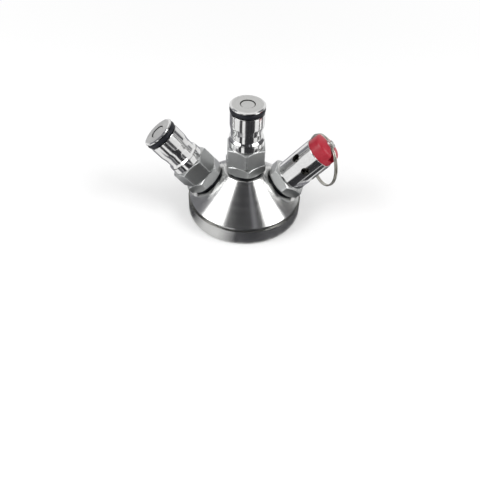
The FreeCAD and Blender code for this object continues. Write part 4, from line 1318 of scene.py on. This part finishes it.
def build_stem():
    """Valve stem with a rounded head and the ring's eye, its disc and the disc's rubber face."""
    valve = settings().valve
    fine = 0.15 * MM
    shell = Shell()
    shell.turn_outline([
        (0.0, valve.disc_foot, 0.0), (valve.stem_thin, valve.disc_foot, fine),
        (valve.stem_thin, valve.stem_step, 0.0), (valve.stem_radius, valve.stem_step, fine),
        (valve.stem_radius, valve.stem_top, valve.stem_crown), (0.0, valve.stem_top, 0.0),
    ], False, PLAIN_COLUMNS)
    mesh = shell.build("valve_stem_fine", "right", valve.slot_turn)
    tool = cross_rod(valve.eye_radius, EYE_ROD_REACH, valve.eye_height, 0.0, valve.slot_turn)
    materials = [faced_steel()]
    mesh = carve(mesh, [tool], (0,), materials)
    dress(mesh, "valve_stem", materials)
    bore, skirt = valve.stem_thin + 0.05 * MM, valve.seal_radius + 0.05 * MM
    skirt_foot = valve.seat_height + 0.3 * MM
    turned_piece("valve_disc", "right", [
        (bore, valve.disc_foot, 0.0), (skirt, valve.disc_foot, 0.0), (skirt, skirt_foot, 0.1 * MM),
        (valve.disc_radius, skirt_foot, fine), (valve.disc_radius, valve.disc_top, fine),
        (valve.hub_radius, valve.disc_top, fine), (valve.hub_radius, valve.hub_top, fine),
        (bore, valve.hub_top, 0.1 * MM),
    ], faced_steel())
    turned_piece("valve_seal", "right", [
        (0.0, valve.seat_height, 0.0), (valve.seal_radius, valve.seat_height, fine),
        (valve.seal_radius, valve.disc_foot, 0.05 * MM), (0.0, valve.disc_foot, 0.0),
    ], black_rubber(), False)


def build_valve_spring():
    """Spring between the disc and the cap's plug. The disc rises as the stem is pulled."""
    valve = settings().valve
    add_spring(
        "valve_spring", "right", valve.slot_turn, valve.spring_radius, valve.spring_wire, 7.0,
        valve.disc_top, valve.cap_foot, "relief_pull",
    )


def build_pull_ring():
    """Split ring of two close turns that hangs from the stem's eye, its ends opposite the eye."""
    valve = settings().valve
    lean, place = port_frame("right")
    own = lean @ turned_matrix(valve.slot_turn, "Z")
    eye = place + own @ np.array([0.0, 0.0, valve.eye_height])
    swing_axis = own @ np.array([1.0, 0.0, 0.0])
    down = np.array([0.0, 0.0, -1.0])
    hang = down - swing_axis * (down @ swing_axis)
    hang /= np.linalg.norm(hang)
    pitch = valve.ring_wire + valve.ring_gap
    shell = wound_wire(2.0, valve.ring_radius, valve.ring_wire, lambda made: pitch * (made - 1.0), 160, 20)
    axes = np.stack([hang, swing_axis, np.cross(hang, swing_axis)], axis=1)
    shell.points = [points @ axes.T + eye + hang * valve.ring_radius for points in shell.points]
    place_piece(shell, "pull_ring", None, 0.0, drawn_wire())


# Stage

def stage_object(name, mesh, material=None):
    item = bpy.data.objects.new(name, mesh)
    bpy.context.scene.collection.objects.link(item)
    if material:
        mesh.materials.append(material)
    return item


def painted_reflection_material(grey):
    """Glowing grey card, a painted dark reflection, whose edges fade out and whose tone varies across it. Its
    map runs from 0 to 1 both ways.
    """
    material, tree = new_material("Card %.2f" % grey)
    if tree is None:
        return material
    apart = put(tree, "ShaderNodeSeparateXYZ", {0: put(tree, "ShaderNodeUVMap", uv_map="card").outputs[0]})
    cover = 1.0
    for side in (0, 1):
        off = maths(tree, "ABSOLUTE", maths(tree, "SUBTRACT", apart.outputs[side], 0.5))
        cover = maths(tree, "MULTIPLY", cover, span(tree, off, 0.5, 0.44, 0.0, 1.0))
    level = span(tree, line_noise(tree, apart.outputs[0], 9.0, 2.0), 0.35, 0.68, 0.7, 1.5)
    # The card glows grey: a painted dark reflection
    dark = put(tree, "ShaderNodeEmission", {"Color": (grey, grey, grey * 1.08, 1.0), "Strength": level})
    clear = put(tree, "ShaderNodeBsdfTransparent")
    mixed = put(tree, "ShaderNodeMixShader", {0: cover, 1: clear.outputs[0], 2: dark.outputs[0]})
    finish_tree(tree, mixed)
    return material


def card(name, points, grey):
    """A glowing card seen in reflections alone, a painted reflection, from a grid of points."""
    rows, columns = points.shape[:2]
    index = np.arange(rows * columns).reshape(rows, columns)
    faces = np.stack([index[:-1, :-1], index[:-1, 1:], index[1:, 1:], index[1:, :-1]], axis=-1)
    faces = faces.reshape(-1, 4)
    mesh = bpy.data.meshes.new(name)
    mesh.from_pydata(points.reshape(-1, 3).tolist(), [], faces.tolist())
    across, along = np.meshgrid(np.linspace(0, 1, columns), np.linspace(0, 1, rows))
    place = np.stack([across, along], axis=-1).reshape(-1, 2)
    layer = mesh.uv_layers.new(name="card")
    layer.data.foreach_set("uv", place[faces.ravel()].astype(np.float32).ravel())
    item = stage_object(name, mesh, painted_reflection_material(grey))
    for kind in ("camera", "diffuse", "transmission", "volume_scatter", "shadow"):
        setattr(item, "visible_" + kind, False)


def sky_card(name, bearing, width, low, high, grey, distance):
    """Part of a sphere round the object. Bearings run from the camera's side, -Y, towards +X."""
    bearings = np.radians(np.linspace(bearing - width / 2, bearing + width / 2, 17))[None, :]
    lifts = np.radians(np.linspace(low, high, 13))[:, None]
    points = np.stack([
        distance * np.sin(bearings) * np.cos(lifts), -distance * np.cos(bearings) * np.cos(lifts),
        distance * np.sin(lifts) * np.ones_like(bearings),
    ], axis=-1)
    card(name, points, grey)


def floor_card(name, bearing, width, near, far, grey, height):
    """Sector of a ring that lies over the floor. Reach and height are in millimetres."""
    bearings = np.radians(np.linspace(bearing - width / 2, bearing + width / 2, 25))[None, :]
    reach = (np.linspace(near, far, 9) * MM)[:, None]
    level = height * MM * np.ones_like(reach * bearings)
    points = np.stack([reach * np.sin(bearings), -reach * np.cos(bearings), level], axis=-1)
    card(name, points, grey)


def seen_directly(tree):
    """1 for camera, glossy and transmission rays, 0 for the rays that light the object."""
    path = put(tree, "ShaderNodeLightPath")
    seen = maths(tree, "MAXIMUM", path.outputs["Is Camera Ray"], path.outputs["Is Glossy Ray"])
    return maths(tree, "MAXIMUM", seen, path.outputs["Is Transmission Ray"])


def build_floor():
    """Pale floor that turns to even white far off."""
    stage = settings().stage
    material, tree = new_material("Pale floor")
    place = place_in(tree)
    shade = blend_colours(tree, noise(tree, place, 14.0, 3.0), rgba(stage.floor), rgba(stage.floor, 0.99))
    paper = put(tree, "ShaderNodeBsdfDiffuse", {"Color": shade})
    white = put(tree, "ShaderNodeEmission", {"Color": (1.0, 1.0, 1.0, 1.0), "Strength": 1.0})
    off = put(tree, "ShaderNodeVectorMath", {0: place}, operation="LENGTH").outputs["Value"]
    far = maths(tree, "MULTIPLY", span(tree, off, *FLOOR_FADE, 0.0, 1.0), seen_directly(tree))
    finish_tree(tree, put(tree, "ShaderNodeMixShader", {0: far, 1: paper.outputs[0], 2: white.outputs[0]}))
    mesh = bpy.data.meshes.new("floor")
    corners = [(x * FLOOR_HALF, y * FLOOR_HALF, 0.0) for x, y in ((-1, -1), (1, -1), (1, 1), (-1, 1))]
    mesh.from_pydata(corners, [], [(0, 1, 2, 3)])
    stage_object("floor", mesh, material)


def build_surroundings():
    """White all round, at full strength where it is seen and at the sky's where it lights the object."""
    world = bpy.data.worlds.new("White studio")
    bpy.context.scene.world = world
    world.use_nodes = True
    tree = world.node_tree
    tree.nodes.clear()
    strength = span(tree, seen_directly(tree), 0.0, 1.0, settings().stage.sky, 1.0)
    sky = put(tree, "ShaderNodeBackground", {"Color": (1.0, 1.0, 1.0, 1.0), "Strength": strength})
    tree.links.new(sky.outputs[0], put(tree, "ShaderNodeOutputWorld").inputs[0])


def build_lamps():
    """Two soft boxes, one on each side."""
    for name, bearing, lift, wide, tall in SOFT_BOXES:
        lamp = bpy.data.lights.new(name, "AREA")
        lamp.shape = "RECTANGLE"
        lamp.size = wide
        lamp.size_y = tall
        lamp.energy = settings().stage.box_power
        item = bpy.data.objects.new(name, lamp)
        bpy.context.scene.collection.objects.link(item)
        bearing, lift = math.radians(bearing), math.radians(lift)
        outward = Vector((
            math.sin(bearing) * math.cos(lift), -math.cos(bearing) * math.cos(lift), math.sin(lift)
        ))
        item.location = outward * BOX_DISTANCE
        item.rotation_euler = outward.to_track_quat("Z", "Y").to_euler()
        item.visible_camera = False


def build_camera():
    """Camera at its place, turned down, aside and about its line of sight."""
    lens = bpy.data.cameras.new("camera")
    lens.sensor_width = 36.0
    lens.lens = settings().stage.lens
    lens.clip_start = 0.01
    lens.clip_end = 20.0
    camera = bpy.data.objects.new("camera", lens)
    bpy.context.scene.collection.objects.link(camera)
    bpy.context.scene.camera = camera
    pitch, yaw, roll = math.radians(CAMERA_PITCH), math.radians(CAMERA_YAW), math.radians(CAMERA_ROLL)
    forward = Vector((math.sin(yaw) * math.cos(pitch), math.cos(yaw) * math.cos(pitch), -math.sin(pitch)))
    level = Vector((math.cos(yaw), -math.sin(yaw), 0.0))
    below = forward.cross(level)
    right = level * math.cos(roll) + below * math.sin(roll)
    down = below * math.cos(roll) - level * math.sin(roll)
    turn = Matrix((right, -down, -forward)).transposed()
    camera.matrix_world = Matrix.Translation(Vector(CAMERA_PLACE) * MM) @ turn.to_4x4()


def build_stage():
    """Floor, white surroundings, two soft boxes, grey cards that paint dark reflections, and camera."""
    build_floor()
    build_surroundings()
    build_lamps()
    for values in SKY_REFLECTION_CARDS:
        sky_card(*values)
    for level, values in enumerate(FLOOR_REFLECTION_CARDS):
        floor_card(*values, FLOOR_CARD_HEIGHT + FLOOR_CARD_STEP * level)
    build_camera()
    bpy.context.scene.view_settings.view_transform = "Standard"


# Operators

class TAPPING_OT_body(bpy.types.Operator):
    """Build the turned body"""

    bl_idname = "tapping_head.body"
    bl_label = "Turned Body"

    def execute(self, context):
        build_body()
        return {"FINISHED"}


class TAPPING_OT_flat_seals(bpy.types.Operator):
    """Build the flat seals under the fittings and against the neck"""

    bl_idname = "tapping_head.flat_seals"
    bl_label = "Flat Seals"

    def execute(self, context):
        build_flat_seals()
        return {"FINISHED"}


class TAPPING_OT_orings(bpy.types.Operator):
    """Build the O-rings"""

    bl_idname = "tapping_head.orings"
    bl_label = "O-Rings"

    def execute(self, context):
        build_orings()
        return {"FINISHED"}


class TAPPING_OT_adapters(bpy.types.Operator):
    """Build the lower hexagons"""

    bl_idname = "tapping_head.adapters"
    bl_label = "Adapters"

    def execute(self, context):
        build_adapters()
        return {"FINISHED"}


class TAPPING_OT_posts(bpy.types.Operator):
    """Build the ball-lock posts"""

    bl_idname = "tapping_head.posts"
    bl_label = "Posts"

    def execute(self, context):
        build_posts()
        return {"FINISHED"}


class TAPPING_OT_poppets(bpy.types.Operator):
    """Build the poppets, their seals and springs"""

    bl_idname = "tapping_head.poppets"
    bl_label = "Poppets"

    def execute(self, context):
        build_poppets()
        build_poppet_springs()
        return {"FINISHED"}


class TAPPING_OT_liquid_tube(bpy.types.Operator):
    """Build the liquid tube"""

    bl_idname = "tapping_head.liquid_tube"
    bl_label = "Liquid Tube"

    def execute(self, context):
        build_liquid_tube()
        return {"FINISHED"}


class TAPPING_OT_valve_body(bpy.types.Operator):
    """Build the relief valve's barrel"""

    bl_idname = "tapping_head.valve_body"
    bl_label = "Valve Barrel"

    def execute(self, context):
        build_valve_body()
        return {"FINISHED"}


class TAPPING_OT_valve_cap(bpy.types.Operator):
    """Build the relief valve's red cap"""

    bl_idname = "tapping_head.valve_cap"
    bl_label = "Valve Cap"

    def execute(self, context):
        build_cap()
        return {"FINISHED"}


class TAPPING_OT_valve_stem(bpy.types.Operator):
    """Build the relief valve's stem, disc, seal and spring"""

    bl_idname = "tapping_head.valve_stem"
    bl_label = "Valve Stem"

    def execute(self, context):
        build_stem()
        build_valve_spring()
        return {"FINISHED"}


class TAPPING_OT_pull_ring(bpy.types.Operator):
    """Build the split ring"""

    bl_idname = "tapping_head.pull_ring"
    bl_label = "Pull Ring"

    def execute(self, context):
        build_pull_ring()
        return {"FINISHED"}


class TAPPING_OT_stage(bpy.types.Operator):
    """Build the floor, light and camera"""

    bl_idname = "tapping_head.stage"
    bl_label = "Stage"

    def execute(self, context):
        build_stage()
        return {"FINISHED"}


OPERATORS = (
    TAPPING_OT_stage, TAPPING_OT_body, TAPPING_OT_flat_seals, TAPPING_OT_orings, TAPPING_OT_adapters,
    TAPPING_OT_posts, TAPPING_OT_poppets, TAPPING_OT_liquid_tube, TAPPING_OT_valve_body,
    TAPPING_OT_valve_cap, TAPPING_OT_valve_stem, TAPPING_OT_pull_ring,
)


class TAPPING_PT_panel(bpy.types.Panel):
    """Lists the tapping head's operators and settings."""

    bl_idname = "TAPPING_PT_panel"
    bl_label = "Tapping Head"
    bl_space_type = "VIEW_3D"
    bl_region_type = "UI"
    bl_category = "Tapping Head"

    def draw(self, context):
        for operator in OPERATORS:
            self.layout.operator(operator.bl_idname)
        for part in ("body", "post", "valve", "finish", "stage"):
            box = self.layout.box()
            box.label(text=part.capitalize())
            group = getattr(context.scene.tapping_head, part)
            for key in group.bl_rna.properties.keys():
                if key not in ("rna_type", "name"):
                    box.prop(group, key)


CLASSES = (
    BodySizes, PostSizes, ValveSizes, Finishes, StageSettings, TappingHeadSettings, *OPERATORS,
    TAPPING_PT_panel,
)


def register():
    for item in CLASSES:
        bpy.utils.register_class(item)
    bpy.types.Scene.tapping_head = bpy.props.PointerProperty(type=TappingHeadSettings)


def unregister():
    del bpy.types.Scene.tapping_head
    for item in reversed(CLASSES):
        bpy.utils.unregister_class(item)


def main():
    register()
    for operator in OPERATORS:
        name = operator.bl_idname.split(".")[1]
        getattr(bpy.ops.tapping_head, name)()


if __name__ == "__main__":
    main()
